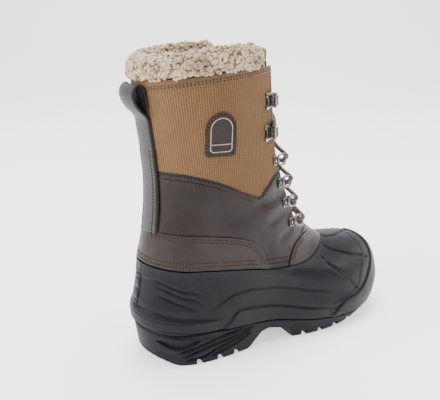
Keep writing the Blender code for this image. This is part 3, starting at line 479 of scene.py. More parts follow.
class Form:
    """A skin of rings stacked from low to high; each runs heel, lateral side, toe, medial side."""

    def __init__(self, rows, height, base_shares=None):
        self.levels = np.arange(len(rows))
        self.columns = np.array(
            [[back, front, medial, *heights, *fullness] for _, back, front, medial, heights, fullness in rows]
        )
        self.height = height
        self.base_shares = base_shares

    def base(self, along):
        """Height of the ring that this form stands on."""
        if self.base_shares is None:
            return 0.0
        return smooth(STATIONS, self.base_shares, along) * SHELL_HEIGHT + RIM_SEAT

    def bare(self, turns, levels):
        turns, levels = np.broadcast_arrays(np.asarray(turns, float), np.asarray(levels, float))
        shape = turns.shape
        turns, levels = turns.ravel(), levels.ravel()
        wanted = [smooth(self.levels, column, levels) for column in self.columns.T]
        count = len(STATIONS)
        back, front, medial = wanted[:3]
        heights, fullness = np.array(wanted[3 : 3 + count]), np.array(wanted[3 + count :])
        along = along_of(turns)
        side = np.sin(2 * math.pi * turns)
        narrow = np.where(side < 0, smooth(STATIONS, MEDIAL_CURVE, along) * medial, 0.0)
        x = x_at(back + (front - back) * along)
        y = -side * smooth(STATIONS, fullness, along) * BALL_WIDTH * (1 - narrow)
        z = smooth(STATIONS, heights, along) * self.height + self.base(along)
        return np.stack([x, y, z], axis=-1).reshape(shape + (3,))

    def spread(self, turns, levels):
        """Each level at each turn, as two grids."""
        shape = (len(levels), len(turns))
        return np.broadcast_to(turns, shape), np.broadcast_to(np.asarray(levels, float)[:, None], shape)

    def normal(self, turns, levels):
        turns, levels = np.broadcast_arrays(np.asarray(turns, float), np.asarray(levels, float))
        small_turn, small_level = 2e-3, 0.05
        above = np.minimum(levels + small_level, self.levels[-1])
        below = np.maximum(levels - small_level, 0)
        along = self.bare(turns + small_turn, levels) - self.bare(turns - small_turn, levels)
        up = self.bare(turns, above) - self.bare(turns, below)
        found = np.cross(along, up)
        return found / np.linalg.norm(found, axis=-1, keepdims=True)

    def skin(self, turns, levels, out=0.0):
        """Points on the form, moved outward along its normal."""
        outward = np.asarray(out, float)[..., None]
        return self.bare(turns, levels) + self.normal(turns, levels) * outward


def x_at(share):
    return (share - ORIGIN_SHARE) * LENGTH


def z_at(share):
    """Height of a place on the shaft."""
    return SHELL_HEIGHT + share * SHAFT_HEIGHT


def along_of(turns):
    return (1 - np.cos(2 * math.pi * np.asarray(turns))) / 2


RUBBER_FORM = Form(RUBBER, SHELL_HEIGHT)
UPPER_FORM = Form(UPPER, SHAFT_HEIGHT, RIM_HEIGHTS)


def soft_step(x):
    """0 below 0, 1 above 1, smooth between."""
    x = np.clip(x, 0, 1)
    return x * x * (3 - 2 * x)


def table_at(places, turns):
    """Level of a line at each turn, the medial side mirrored."""
    knots, levels = zip(*places)
    side = np.abs(np.asarray(turns, float))
    return smooth(knots, levels, side.ravel()).reshape(side.shape)


def even(level):
    """A line that keeps one level all round."""
    return (0.0, level), (0.25, level), (0.5, level)


def metres_per_level(form, turns, levels):
    top = form.levels[-1]
    high, low = np.minimum(levels + 0.1, top), np.maximum(levels - 0.1, 0)
    return np.linalg.norm(form.bare(turns, high) - form.bare(turns, low), axis=-1) / (high - low)


def drawn_line(form, places, count=48):
    """A line through (turn, level) places as points on a form."""
    turns, levels = np.array(places, float).T
    reach = np.hypot(np.diff(turns) * 12, np.diff(levels))
    knots = np.concatenate([[0], np.cumsum(reach)])
    at = np.linspace(0, knots[-1], count)
    return form.bare(smooth(knots, turns, at), smooth(knots, levels, at))


def line_distance(points, line):
    """Distance of each point to a line, and the share along it."""
    flat = points.reshape(-1, 3)
    best, share = np.full(len(flat), np.inf), np.zeros(len(flat))
    margin = 8 * MM
    near = np.all((flat > line.min(0) - margin) & (flat < line.max(0) + margin), axis=1)
    close = flat[near]
    nearest, place = np.full(len(close), np.inf), np.zeros(len(close))
    for i in range(len(line) - 1):
        step = line[i + 1] - line[i]
        t = np.clip(((close - line[i]) @ step) / max(step @ step, 1e-12), 0, 1)
        distance = np.linalg.norm(close - line[i] - t[:, None] * step, axis=1)
        nearer = distance < nearest
        nearest[nearer] = distance[nearer]
        place[nearer] = (i + t[nearer]) / (len(line) - 1)
    best[near], share[near] = nearest, place
    return best.reshape(points.shape[:-1]), share.reshape(points.shape[:-1])


def crease(points, line, depth, width, fade=0.1):
    """A trough along a line, fading at its ends."""
    distance, share = line_distance(points, line)
    ends = soft_step(share / fade) * soft_step((1 - share) / fade)
    return -depth * np.exp(-((distance / width) ** 2)) * ends


def both_sides(places):
    return [places, tuple((-turn, level) for turn, level in places)]


def window(side, start, end, fade=0.012):
    """1 between two turns, fading outside."""
    return soft_step((side - start) / fade + 0.5) * soft_step((end - side) / fade + 0.5)


def step_below(above, height, blend):
    return height * (1 - soft_step(above / blend + 0.5))


def bumper_relief(side, above_top, above_crease):
    """The heel bumper: a wall up to its crease, then a shelf up to its top edge."""
    shelf = np.maximum(above_crease - above_top, 1 * MM)
    slope = 1 - np.clip(above_crease / shelf, 0, 1)
    out = step_below(above_top, BUMPER_LIP, 1.6 * MM) + (BUMPER_OUT - BUMPER_LIP) * slope
    out -= 0.5 * MM * np.exp(-((above_crease / (0.8 * MM)) ** 2))
    fuller = 1 + 0.15 * (1 - soft_step(side / 0.07))
    return out * fuller * (1 - soft_step((side - 0.13) / 0.035))


def height_above(turns, levels, scale):
    """A function that tells how far places stand above a line, in metres."""
    return lambda places: (levels - table_at(places, turns)) * scale


def shell_relief(turns, levels, points):
    """Relief of the rubber shell's outside."""
    form = RUBBER_FORM
    side = np.abs(turns)
    scale = metres_per_level(form, turns, levels)
    above = height_above(turns, levels, scale)
    out = -SOLE_LEDGE * (1 - soft_step((levels - 1.0) * scale / (1.6 * MM)))
    out += bumper_relief(side, above(BUMPER_TOP), above(BUMPER_CREASE))
    foxing = above(FOXING_TOP)
    shown = window(side, 0.163, 0.312)
    out += shown * step_below(foxing, FOXING_OUT, 1.2 * MM)
    out -= shown * 0.6 * MM * np.exp(-(((foxing - 0.4 * MM) / (0.9 * MM)) ** 2))
    out += window(side, 0.152, 0.30, 0.03) * step_below(above(SIDE_ARC), ARC_OUT, 3.5 * MM)
    toe = above(TOE_EDGE)
    fore = soft_step((side - 0.296) / 0.012)
    out += fore * step_below(toe, TOE_OUT, 1.0 * MM)
    out -= fore * 0.7 * MM * np.exp(-(((toe - 0.5 * MM) / (0.9 * MM)) ** 2))
    out += fore * step_below(above(TOE_CHAMFER), TOE_SOFT_OUT, 3.0 * MM)
    out += RIM_OUT * soft_step(above(RIM_STEP) / (1.8 * MM) + 0.5)
    for rib in TOE_RIBS:
        out += crease(points, drawn_line(form, rib), RIB_DEPTH, RIB_WIDTH, 0.06)
    for sweep in HEEL_SWEEPS:
        for places in both_sides(sweep):
            out += crease(points, drawn_line(form, places), SWEEP_DEPTH, SWEEP_WIDTH, 0.2)
    return out + back_strip_relief(side, levels, points, above(BUMPER_TOP), above(RIM_STEP))


def back_strip_relief(side, levels, points, above_bumper, above_rim):
    """The scalloped strip up the middle of the heel."""
    across = np.abs(points[..., 1])
    inside = (1 - soft_step((across - STRIP_HALF) / (0.8 * MM) + 0.5)) * (side < 0.1)
    inside = inside * soft_step(above_bumper / (1.5 * MM)) * (1 - soft_step(above_rim / (1.5 * MM)))
    wave = np.abs(np.sin(math.pi * (points[..., 2] + 0.25 * across) / SCALLOP_PITCH)) ** 0.6
    edge = np.exp(-(((across - STRIP_HALF - 0.5 * MM) / (0.7 * MM)) ** 2)) * (side < 0.1) * (levels > 2.1)
    return STRIP_OUT * inside * (0.3 + wave) - 0.5 * MM * edge


def sole_relief(turns, levels, points):
    """Relief of the sole's side."""
    form = RUBBER_FORM
    side = np.abs(turns)
    scale = metres_per_level(form, turns, levels)
    above = height_above(turns, levels, scale)
    out = 0.8 * MM * soft_step(levels * scale / (2.5 * MM))
    ledge = above(GROOVE_LINE)
    out -= 1.8 * MM * np.exp(-((ledge / (1.1 * MM)) ** 2)) * (levels < 0.999)
    out -= SOLE_LEDGE * soft_step(((levels - 1.0) * scale + 1.2 * MM) / (1.2 * MM))
    out += 0.9 * MM * window(side, 0.08, 0.20, 0.03) * soft_step((0.8 - levels) / 0.1)
    deep = soft_step(-above(CRESCENT_TOP) / (0.9 * MM)) * soft_step(above(CRESCENT_LOW) / (0.9 * MM))
    out -= CRESCENT_DEPTH * deep * ((side > 0.048) & (side < 0.132))
    for rib in WAIST_RIBS:
        for places in both_sides(rib):
            out += crease(points, drawn_line(form, places), WAIST_RIB_DEPTH, WAIST_RIB_WIDTH, 0.08)
    out -= 0.5 * MM * np.exp(-((above(LOW_BAND) / (0.7 * MM)) ** 2)) * window(side, -1, 0.14)
    below = -above(TREAD_STEP)
    out -= 0.9 * MM * soft_step(below / (0.8 * MM)) * soft_step((side - 0.236) / 0.01)
    start, end, low, high = FINE_PATCH
    patch = window(side, start, end, 0.004) * window(levels, low, high, 0.02)
    stipple = np.sin(points[..., 0] * 2800) * np.sin(points[..., 2] * 2800 + points[..., 1] * 1400)
    return out - patch * (0.4 * MM - 0.35 * MM * stipple)


def leather_relief(turns, levels, points):
    """Soft creases and puffs in the leather."""
    out = np.zeros(points.shape[:-1])
    for table, sign in ((ANKLE_CREASES, 1), (ANKLE_PUFFS, -1)):
        for places, depth, width in table:
            for line in both_sides(places):
                out += sign * crease(points, drawn_line(UPPER_FORM, line), depth * MM, width * MM, 0.3)
    wobble = np.sin(points[..., 0] * 70 + 1.3 * np.sin(points[..., 2] * 60))
    wobble = wobble * np.cos(points[..., 2] * 85 + points[..., 1] * 40)
    return out + 0.35 * MM * wobble * soft_step((levels - 1.5) / 1.5)


# Meshes


def new_object(name, mesh, look=None):
    obj = bpy.data.objects.new(name, mesh)
    bpy.context.scene.collection.objects.link(obj)
    if look:
        mesh.materials.append(look)
    return obj


def mesh_object(name, points, faces, look=None, uv=None):
    """A mesh object; uv holds one pair for each point."""
    mesh = bpy.data.meshes.new(name)
    mesh.from_pydata(np.asarray(points, float).reshape(-1, 3).tolist(), [], faces)
    if uv is not None:
        layer = mesh.uv_layers.new(name="UVMap")
        corners = np.empty(len(mesh.loops), np.int32)
        mesh.loops.foreach_get("vertex_index", corners)
        layer.data.foreach_set("uv", np.asarray(uv, np.float32).reshape(-1, 2)[corners].ravel())
    mesh.validate()
    return new_object(name, mesh, look)


def grid_faces(rows, columns, closed=False, start=0):
    faces = []
    for r in range(rows - 1):
        for c in range(columns if closed else columns - 1):
            d = (c + 1) % columns
            a, b = start + r * columns, start + (r + 1) * columns
            faces.append((a + c, a + d, b + d, b + c))
    return faces


@contextmanager
def editing(mesh):
    """Opens a mesh for edits and writes them back."""
    work = bmesh.new()
    work.from_mesh(mesh)
    yield work
    work.to_mesh(mesh)
    work.free()


def shade(mesh, angle=None):
    """Shades a mesh smooth, but for edges sharper than the angle."""
    mesh.polygons.foreach_set("use_smooth", np.ones(len(mesh.polygons), bool))
    if angle is not None:
        mesh.set_sharp_from_angle(angle=math.radians(angle))


def loop_back(rows, columns):
    """Faces from the last ring of a stack back to its first."""
    last = (rows - 1) * columns
    return [(last + i, last + (i + 1) % columns, (i + 1) % columns, i) for i in range(columns)]


def ring_solid(name, rings, look, angle, ends):
    """A closed solid of stacked rings: its ends are filled, or else its last ring meets its first."""
    rows, columns = len(rings), len(rings[0])
    faces = grid_faces(rows, columns, closed=True)
    if ends:
        faces += ladder(0, columns) + ladder((rows - 1) * columns, columns)
    else:
        faces += loop_back(rows, columns)
    return finished(mesh_object(name, np.concatenate(rings), faces, look), angle)


def finished(obj, angle=38, outward=True):
    """Merges doubles, faces the skin outward and shades it smooth between sharp edges."""
    with editing(obj.data) as work:
        bmesh.ops.remove_doubles(work, verts=work.verts, dist=2e-5)
        bmesh.ops.dissolve_degenerate(work, edges=work.edges, dist=1e-6)
        if outward:
            bmesh.ops.recalc_face_normals(work, faces=work.faces)
    shade(obj.data, angle)
    return obj


def plain(obj):
    """Applies the object's modifiers, leaving a plain mesh."""
    bpy.context.view_layer.update()
    graph = bpy.context.evaluated_depsgraph_get()
    mesh = bpy.data.meshes.new_from_object(obj.evaluated_get(graph))
    obj.modifiers.clear()
    if obj.type == "MESH":
        obj.data = mesh
        return obj
    name = obj.name
    bpy.data.objects.remove(obj)
    return new_object(name, mesh)


def cut(obj, cutter, operation="DIFFERENCE"):
    modifier = obj.modifiers.new("cut", "BOOLEAN")
    modifier.operation = operation
    modifier.solver = "EXACT"
    modifier.object = cutter
    plain(obj)
    bpy.data.objects.remove(cutter)
    return obj


def prism(outline, axis, low, high):
    """A cutter: an outline in the plane across an axis, pushed from low to high along it."""
    order = {"X": (2, 0, 1), "Y": (0, 2, 1), "Z": (0, 1, 2)}[axis]
    points = [[(a, b, depth)[i] for i in order] for depth in (low, high) for a, b in outline]
    count = len(outline)
    faces = [tuple(range(count)), tuple(range(2 * count - 1, count - 1, -1))]
    faces += [(i, (i + 1) % count, count + (i + 1) % count, count + i) for i in range(count)]
    cutter = mesh_object("cutter", points, faces)
    with editing(cutter.data) as work:
        bmesh.ops.recalc_face_normals(work, faces=work.faces)
    return cutter


def thick(obj, wall, outward=False):
    """Gives a skin a wall, inward unless outward."""
    modifier = obj.modifiers.new("wall", "SOLIDIFY")
    modifier.thickness = wall
    modifier.offset = 1 if outward else -1
    modifier.use_even_offset = False
    return plain(obj)


def skin_uv(points):
    """Lengths in metres round and up a grid of points."""
    across = np.linalg.norm(np.diff(points, axis=1), axis=-1)
    u = np.concatenate([np.zeros((len(points), 1)), np.cumsum(across, axis=1)], axis=1)
    u -= u[:, [u.shape[1] // 2]]
    up = np.linalg.norm(np.diff(points, axis=0), axis=-1)
    v = np.concatenate([np.zeros((1, points.shape[1])), np.cumsum(up, axis=0)])
    return np.stack([u, v], axis=-1)


def upper_skin(name, bottom, top, rows, out, relief, look):
    """A skin of the shaft between two level tables, its seam at the front."""
    turns = np.linspace(-0.5, 0.5, SHAFT_COLUMNS + 1)
    share = np.linspace(0, 1, rows)[:, None]
    low, high = table_at(bottom, turns), table_at(top, turns)
    levels = low + (high - low) * share
    turns = np.broadcast_to(turns, levels.shape)
    points = UPPER_FORM.bare(turns, levels)
    moved = relief(turns, levels, points) if relief else 0.0
    ends = edge_roll(share, rows)
    surface = UPPER_FORM.skin(turns, levels, out + moved - ends * np.ones(levels.shape))
    uv = skin_uv(points)
    obj = mesh_object(name, surface, grid_faces(rows, SHAFT_COLUMNS + 1), look, uv)
    return finished(obj)


def edge_roll(share, rows):
    """How far a skin's first and last rows turn in, so that its edges look rolled."""
    from_end = np.minimum(share, 1 - share) * (rows - 1)
    return 0.35 * MM * (from_end < 0.5) + 0.1 * MM * ((from_end >= 0.5) & (from_end < 1.5))


def catmull(path, per_step=6, closed=False):
    """A smooth path through points."""
    path = np.asarray(path, float)
    if closed:
        padded = np.concatenate([path[-1:], path, path[:2]])
    else:
        padded = np.concatenate([2 * path[:1] - path[1:2], path, 2 * path[-1:] - path[-2:-1]])
    found = []
    for i in range(1, len(padded) - 2):
        a, b, c, d = padded[i - 1 : i + 3]
        for t in np.arange(per_step) / per_step:
            bend = (2 * a - 5 * b + 4 * c - d) * t * t + (3 * b - a - 3 * c + d) * t**3
            found.append(0.5 * (2 * b + (c - a) * t + bend))
    if not closed:
        found.append(path[-1])
    return np.array(found)


def tube(name, path, radius, sides, look, closed=False, flat=1.0, across=None):
    """A round or flattened bar along a path, lengths in its UV map; across points along its wide side."""
    count = len(path)
    ahead = np.roll(path, -1, 0) - np.roll(path, 1, 0)
    if not closed:
        ahead[0], ahead[-1] = path[1] - path[0], path[-1] - path[-2]
    ahead /= np.linalg.norm(ahead, axis=1, keepdims=True)
    side = np.cross(ahead[0], (0.13, 0.21, 0.97))
    angles = 2 * math.pi * np.arange(sides + 1) / sides
    along = np.concatenate([[0], np.cumsum(np.linalg.norm(np.diff(path, axis=0), axis=1))])
    points, uv = [], []
    for i in range(count):
        if across is not None:
            side = across[i]
        side = side - ahead[i] * (side @ ahead[i])
        side = side / np.linalg.norm(side)
        other = np.cross(ahead[i], side)
        for angle in angles:
            points.append(path[i] + radius * (math.cos(angle) * side + flat * math.sin(angle) * other))
            uv.append((radius * angle, along[i]))
    faces = grid_faces(count, sides + 1)
    last = (count - 1) * (sides + 1)
    if closed:
        faces += [(last + i, last + i + 1, i + 1, i) for i in range(sides)]
    else:
        faces += [tuple(range(sides)), tuple(range(last + sides - 1, last - 1, -1))]
    return finished(mesh_object(name, points, faces, look, uv), 50)


def joined(name, pieces):
    """Several objects as one, keeping their materials."""
    target = pieces[0]
    with bpy.context.temp_override(
        active_object=target, object=target, selected_objects=pieces, selected_editable_objects=pieces
    ):
        bpy.ops.object.join()
    target.name = name
    return target


def dress(piece, slot, *nodes):
    """Puts a finished piece on the boot in place of its nodes."""
    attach(piece, "root")
    if nodes:
        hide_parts(*nodes)
    return piece


# Materials


class Value:
    """A shader socket that takes part in Python arithmetic."""

    def __init__(self, look, socket):
        self.look = look
        self.socket = socket

    def math(self, operation, first, second=None):
        values = {0: first} if second is None else {0: first, 1: second}
        return self.look.node("ShaderNodeMath", {"operation": operation}, values)

    def __add__(self, other):
        return self.math("ADD", self, other)

    def __sub__(self, other):
        return self.math("SUBTRACT", self, other)

    def __mul__(self, other):
        return self.math("MULTIPLY", self, other)

    def __truediv__(self, other):
        return self.math("DIVIDE", self, other)

    def __rsub__(self, other):
        return self.math("SUBTRACT", other, self)

    def __rtruediv__(self, other):
        return self.math("DIVIDE", other, self)

    __radd__ = __add__
    __rmul__ = __mul__

    def sine(self):
        return self.math("SINE", self)

    def wrapped(self):
        return self.math("FRACT", self)

    def over(self, limit):
        return self.math("GREATER_THAN", self, limit)

    def most(self, other):
        return self.math("MAXIMUM", self, other)

    def size(self):
        return self.math("ABSOLUTE", self)

    def between(self, low, high):
        """0 at low and below, 1 at high and above."""
        return self.look.node("ShaderNodeMapRange", {}, {0: self, 1: low, 2: high, 3: 0.0, 4: 1.0})


class Look:
    """A Principled material built from expressions."""

    def __init__(self, name, roughness=0.5, metallic=0.0, specular=0.5, sheen=0.0, coat=0.0):
        self.material = bpy.data.materials.new(name)
        self.material.use_nodes = True
        self.tree = self.material.node_tree
        self.shader = self.tree.nodes["Principled BSDF"]
        constants = {
            "Roughness": roughness,
            "Metallic": metallic,
            "Specular IOR Level": specular,
            "Sheen Weight": sheen,
            "Coat Weight": coat,
        }
        for socket, value in constants.items():
            self.shader.inputs[socket].default_value = value

    def node(self, kind, settings, values, output=0):
        """Makes a node from its type, its settings and the values or links of its sockets."""
        made = self.tree.nodes.new(kind)
        for name, value in settings.items():
            setattr(made, name, value)
        for socket, value in values.items():
            self.feed(made.inputs[socket], value)
        return Value(self, made.outputs[output])

    def feed(self, socket, value):
        if isinstance(value, Value):
            self.tree.links.new(value.socket, socket)
        elif isinstance(value, tuple) and len(value) == 3 and socket.type == "RGBA":
            socket.default_value = (*value, 1)
        else:
            socket.default_value = value

    def place(self, stretch=(1, 1, 1)):
        spot = self.node("ShaderNodeTexCoord", {}, {}, "Object")
        return self.node("ShaderNodeMapping", {}, {"Vector": spot, "Scale": stretch})

    def uv(self):
        split = self.node("ShaderNodeUVMap", {"uv_map": "UVMap"}, {})
        parts = self.node("ShaderNodeSeparateXYZ", {}, {0: split})
        return parts, Value(self, parts.socket.node.outputs[1])

    def noise(self, scale, detail=3.0, rough=0.5, stretch=(1, 1, 1)):
        values = {"Vector": self.place(stretch), "Scale": scale, "Detail": detail, "Roughness": rough}
        return self.node("ShaderNodeTexNoise", {}, values)

    def cells(self, scale, output=0):
        return self.node("ShaderNodeTexVoronoi", {}, {"Vector": self.place(), "Scale": scale}, output)

    def blend(self, mask, first, second):
        values = {0: mask, 6: first, 7: second}
        return self.node("ShaderNodeMix", {"data_type": "RGBA", "clamp_factor": True}, values, 2)

    def bump(self, height, distance, strength=1.0):
        values = {"Height": height, "Distance": distance, "Strength": strength}
        self.feed(self.shader.inputs["Normal"], self.node("ShaderNodeBump", {}, values))

    def finish(self, colour=None, roughness=None):
        if colour is not None:
            self.feed(self.shader.inputs["Base Color"], colour)
        if roughness is not None:
            self.feed(self.shader.inputs["Roughness"], roughness)
        return self.material


def toned(colour, factor, lift=0.0):
    return tuple(channel * factor + lift for channel in colour)


def rubber_look(name, colour, shine):
    """Black rubber: a fine moulded skin with faint dust in it."""
    look = Look(name, roughness=shine, specular=0.16)
    dust = look.noise(90, 4, 0.6).between(0.45, 0.75)
    grain = look.noise(2600, 2, 0.6)
    pale = toned(colour, 1.25, 0.001)
    look.bump(grain, 0.00012, 0.5)
    rough = look.noise(60, 2).between(0, 1) * 0.14 + (shine - 0.07)
    return look.finish(look.blend(dust, colour, pale), rough)


def leather_look(name, colour, shine=0.42):
    """Smooth full-grain leather with a fine pebble and soft mottling."""
    look = Look(name, roughness=shine, specular=0.2)
    mottle = look.noise(34, 5, 0.62).between(0.35, 0.7)
    pebble = look.cells(1150) + look.noise(1900, 2, 0.5) * 0.5
    pale = toned(colour, 1.35, 0.006)
    look.bump(pebble, 0.0001, 0.45)
    rough = look.noise(120, 3).between(0.3, 0.8) * 0.16 + (shine - 0.08)
    return look.finish(look.blend(mottle, colour, pale), rough)


def woven_look(name, dark, light, rib=0.0021, pick=0.0019):
    """Woven nylon: rows of pale floats with a dark gap at the end of each, stepping like brickwork; the gaps
    and the low ground between the cords are darkened as painted shade.
    """
    look = Look(name, roughness=0.8, specular=0.12)
    u, v = look.uv()
    column = (u * (2 * math.pi / rib)).sine()
    row = (v * (2 * math.pi / pick) + u * (math.pi / rib)).sine()
    cord = column * 0.5 + 0.5
    float_end = (row * 0.5 + 0.5) * (cord * -0.6 + 1.0)
    gap = float_end.between(0.45, 0.85)
    worn = look.noise(45, 4, 0.6).between(0.3, 0.75)
    warm = look.blend(worn, light, toned(light, 0.84))
    look.bump(cord * 0.5 + gap * -0.9, 0.00035, 0.8)
    # Painted shade: the dark colour goes into the recessed gaps and between the cords, the light colour onto
    # the raised cords
    return look.finish(look.blend(gap * 0.85 + (cord * -0.22 + 0.15), warm, dark))


def fleece_look(name, colour, shadow, scale=420):
    """Curly fleece, paler on the tips; its shadow colour, blended in patches and between fibres, is painted
    shade.
    """
    look = Look(name, roughness=0.95, specular=0.1, sheen=0.6)
    patches = look.noise(70, 4, 0.6).between(0.35, 0.7)
    fibre = look.noise(scale * 4, 3, 0.7)
    tone = look.blend(patches, colour, shadow)
    look.bump(fibre + look.cells(scale), 0.0004, 0.7)
    return look.finish(look.blend(fibre.between(0.3, 0.7) * 0.35, tone, shadow))


def metal_look(name, colour, shine):
    look = Look(name, roughness=shine, metallic=1.0)
    scratch = look.noise(500, 3, 0.6)
    look.bump(scratch, 0.00003, 0.4)
    tone = look.blend(look.noise(160, 3).between(0.3, 0.8), colour, toned(colour, 0.6))
    return look.finish(tone, scratch * 0.2 + (shine - 0.1))


def lace_look(name, dark, light):
    """Round braided cord with flecks of a paler yarn."""
    look = Look(name, roughness=0.8, specular=0.25, sheen=0.2)
    u, v = look.uv()
    first = (u * 1500 + v * 2600).sine()
    second = (u * -1500 + v * 2600).sine()
    braid = first.most(second) * 0.5 + 0.5
    fleck = look.noise(700, 2, 0.5).between(0.5, 0.58) * braid
    look.bump(braid, 0.0003, 0.9)
    return look.finish(look.blend(fleck, dark, light))


def tape_look(name, colour):
    """Tightly woven tape with a faint sheen."""
    look = Look(name, roughness=0.55, specular=0.3)
    u, v = look.uv()
    weave = (u * 5200).sine() * (v * 5200).sine() * 0.5 + 0.5
    look.bump(weave, 0.00012, 0.6)
    return look.finish(look.blend(look.noise(80, 3).between(0.3, 0.7), colour, toned(colour, 1.3)))


def plain_look(name, colour, roughness, specular=0.2):
    """A plain finish with a fine grain."""
    look = Look(name, roughness=roughness, specular=specular)
    grain = look.noise(900, 3, 0.6)
    look.bump(grain, 0.0001, 0.5)
    return look.finish(look.blend(grain.between(0.3, 0.7), colour, toned(colour, 0.75)))


# Geometry Nodes


def node_tree(name, sizes):
    """A geometry node group with a named input for each size."""
    tree = bpy.data.node_groups.new(name, "GeometryNodeTree")
    tree.interface.new_socket(name="Geometry", in_out="INPUT", socket_type="NodeSocketGeometry")
    for size, kind in sizes:
        tree.interface.new_socket(name=size, in_out="INPUT", socket_type=kind)
    tree.interface.new_socket(name="Geometry", in_out="OUTPUT", socket_type="NodeSocketGeometry")
    entry = tree.nodes.new("NodeGroupInput")
    leave = tree.nodes.new("NodeGroupOutput")

    def feed(made, socket, value):
        if isinstance(value, bpy.types.NodeSocket):
            tree.links.new(value, made.inputs[socket])
        else:
            made.inputs[socket].default_value = value

    def add(kind, settings=None, by_number=None, **values):
        made = tree.nodes.new(kind)
        for key, value in (settings or {}).items():
            setattr(made, key, value)
        for number, value in (by_number or {}).items():
            feed(made, number, value)
        for key, value in values.items():
            feed(made, key.replace("_", " "), value)
        return made

    return tree, entry.outputs, leave.inputs["Geometry"], add


def planted(add, points, shape, look, **values):
    """A shape set on points, as plain mesh of one material."""
    spread = add(
        "GeometryNodeInstanceOnPoints", Points=points.outputs[0], Instance=shape.outputs[0], **values
    )
    real = add("GeometryNodeRealizeInstances", Geometry=spread.outputs[0])
    return add("GeometryNodeSetMaterial", Geometry=real.outputs[0], Material=look)


def run_tree(obj, tree, values):
    """Sets the tree's inputs by identifier, then leaves the result as a plain mesh."""
    modifier = obj.modifiers.new(tree.name, "NODES")
    modifier.node_group = tree
    for item in tree.interface.items_tree:
        if item.in_out == "INPUT" and item.name in values:
            modifier[item.identifier] = values[item.name]
    return plain(obj)


def stitch_tree(thread, hole):
    """Stitches along a path, with a dark dot midway between each two as painted shade in the needle hole."""
    sizes = tuple((size, "NodeSocketFloat") for size in ("Pitch", "Length", "Thickness"))
    tree, given, leave, add = node_tree("stitches", sizes)
    multiply = {"operation": "MULTIPLY"}
    by_length = {"mode": "LENGTH"}
    path = add("GeometryNodeMeshToCurve", Mesh=given["Geometry"])
    points = add("GeometryNodeResampleCurve", by_length, Curve=path.outputs[0], Length=given["Pitch"])
    tangent = add("GeometryNodeInputTangent")
    turn = add("FunctionNodeAlignRotationToVector", {"axis": "Z"}, Vector=tangent.outputs[0])
    ball = add("GeometryNodeMeshUVSphere", Segments=8, Rings=6, Radius=1.0)
    size = add("ShaderNodeCombineXYZ", X=given["Thickness"], Y=given["Thickness"], Z=given["Length"])
    sewn = planted(add, points, ball, thread, Rotation=turn.outputs[0], Scale=size.outputs[0])
    half = add("ShaderNodeMath", multiply, {0: given["Pitch"], 1: 0.5})
    ends = {4: half.outputs[0], 5: LONGER_THAN_ANY_ROW}
    trimmed = add("GeometryNodeTrimCurve", by_length, ends, Curve=path.outputs[0])
    between = add("GeometryNodeResampleCurve", by_length, Curve=trimmed.outputs[0], Length=given["Pitch"])
    dot = add("GeometryNodeMeshIcoSphere", Subdivisions=2, Radius=1.0)
    wide = add("ShaderNodeMath", multiply, {0: given["Thickness"], 1: HOLE_SHARE})
    # Dark dots between the stitches: painted shade in the needle holes
    shaded_holes = planted(add, between, dot, hole, Scale=wide.outputs[0])
    both = add("GeometryNodeJoinGeometry")
    tree.links.new(shaded_holes.outputs[0], both.inputs[0])
    tree.links.new(sewn.outputs[0], both.inputs[0])
    soft = add("GeometryNodeSetShadeSmooth", Geometry=both.outputs[0])
    tree.links.new(soft.outputs[0], leave)
    return tree


def fleece_tree(look):
    """Curls of fleece over a surface: short coils, each turned and sized by chance."""
    sizes = (*((size, "NodeSocketFloat") for size in ("Gap", "Density", "Curl")), ("Seed", "NodeSocketInt"))
    tree, given, leave, add = node_tree("fleece", sizes)
    seed = given["Seed"]
    spread = add(
        "GeometryNodeDistributePointsOnFaces", {"distribute_method": "POISSON"},
        Mesh=given["Geometry"], Distance_Min=given["Gap"], Density_Max=given["Density"], Seed=seed,
    )
    coil = add(
        "GeometryNodeCurveSpiral",
        Resolution=7, Rotations=1.35, Start_Radius=0.85, End_Radius=0.35, Height=1.1,
    )
    yarn = add("GeometryNodeCurvePrimitiveCircle", Resolution=5, Radius=0.56)
    body = add(
        "GeometryNodeCurveToMesh", Curve=coil.outputs[0], Profile_Curve=yarn.outputs[0], Fill_Caps=True
    )
    lean, spin = CURL_TURN
    angle = add(
        "FunctionNodeRandomValue", {"data_type": "FLOAT_VECTOR"},
        {0: (-lean, -lean, -spin), 1: (lean, lean, spin)}, Seed=seed,
    )
    turned = add(
        "FunctionNodeRotateRotation", {"rotation_space": "LOCAL"},
        Rotation=spread.outputs["Rotation"], Rotate_By=angle.outputs[0],
    )
    least, most = CURL_SIZES
    scale = add("FunctionNodeRandomValue", {"data_type": "FLOAT"}, {2: least, 3: most}, Seed=seed)
    sized = add("ShaderNodeMath", {"operation": "MULTIPLY"}, {0: scale.outputs[1], 1: given["Curl"]})
    grown = planted(add, spread, body, look, Rotation=turned.outputs[0], Scale=sized.outputs[0])
    soft = add("GeometryNodeSetShadeSmooth", Geometry=grown.outputs[0])
    tree.links.new(soft.outputs[0], leave)
    return tree


# Pieces


def ring_turns():
    return np.arange(SOLE_COLUMNS) / SOLE_COLUMNS


def signed(turns):
    """Turns from -0.5 to 0.5, the medial side negative."""
    return np.where(turns > 0.5, turns - 1, turns)


def relief_skin(levels, relief):
    """Rings of the rubber form with their relief."""
    grid = RUBBER_FORM.spread(signed(ring_turns()), levels)
    return RUBBER_FORM.skin(*grid, relief(*grid, RUBBER_FORM.bare(*grid)))


def ladder(start, count):
    """Fills a ring whose two halves mirror each other, from heel to toe."""
    half = count // 2
    faces = [(start, start + 1, start + count - 1)]
    for i in range(1, half - 1):
        faces.append((start + i, start + i + 1, start + count - i - 1, start + count - i))
    faces.append((start + half - 1, start + half, start + half + 1))
    return faces


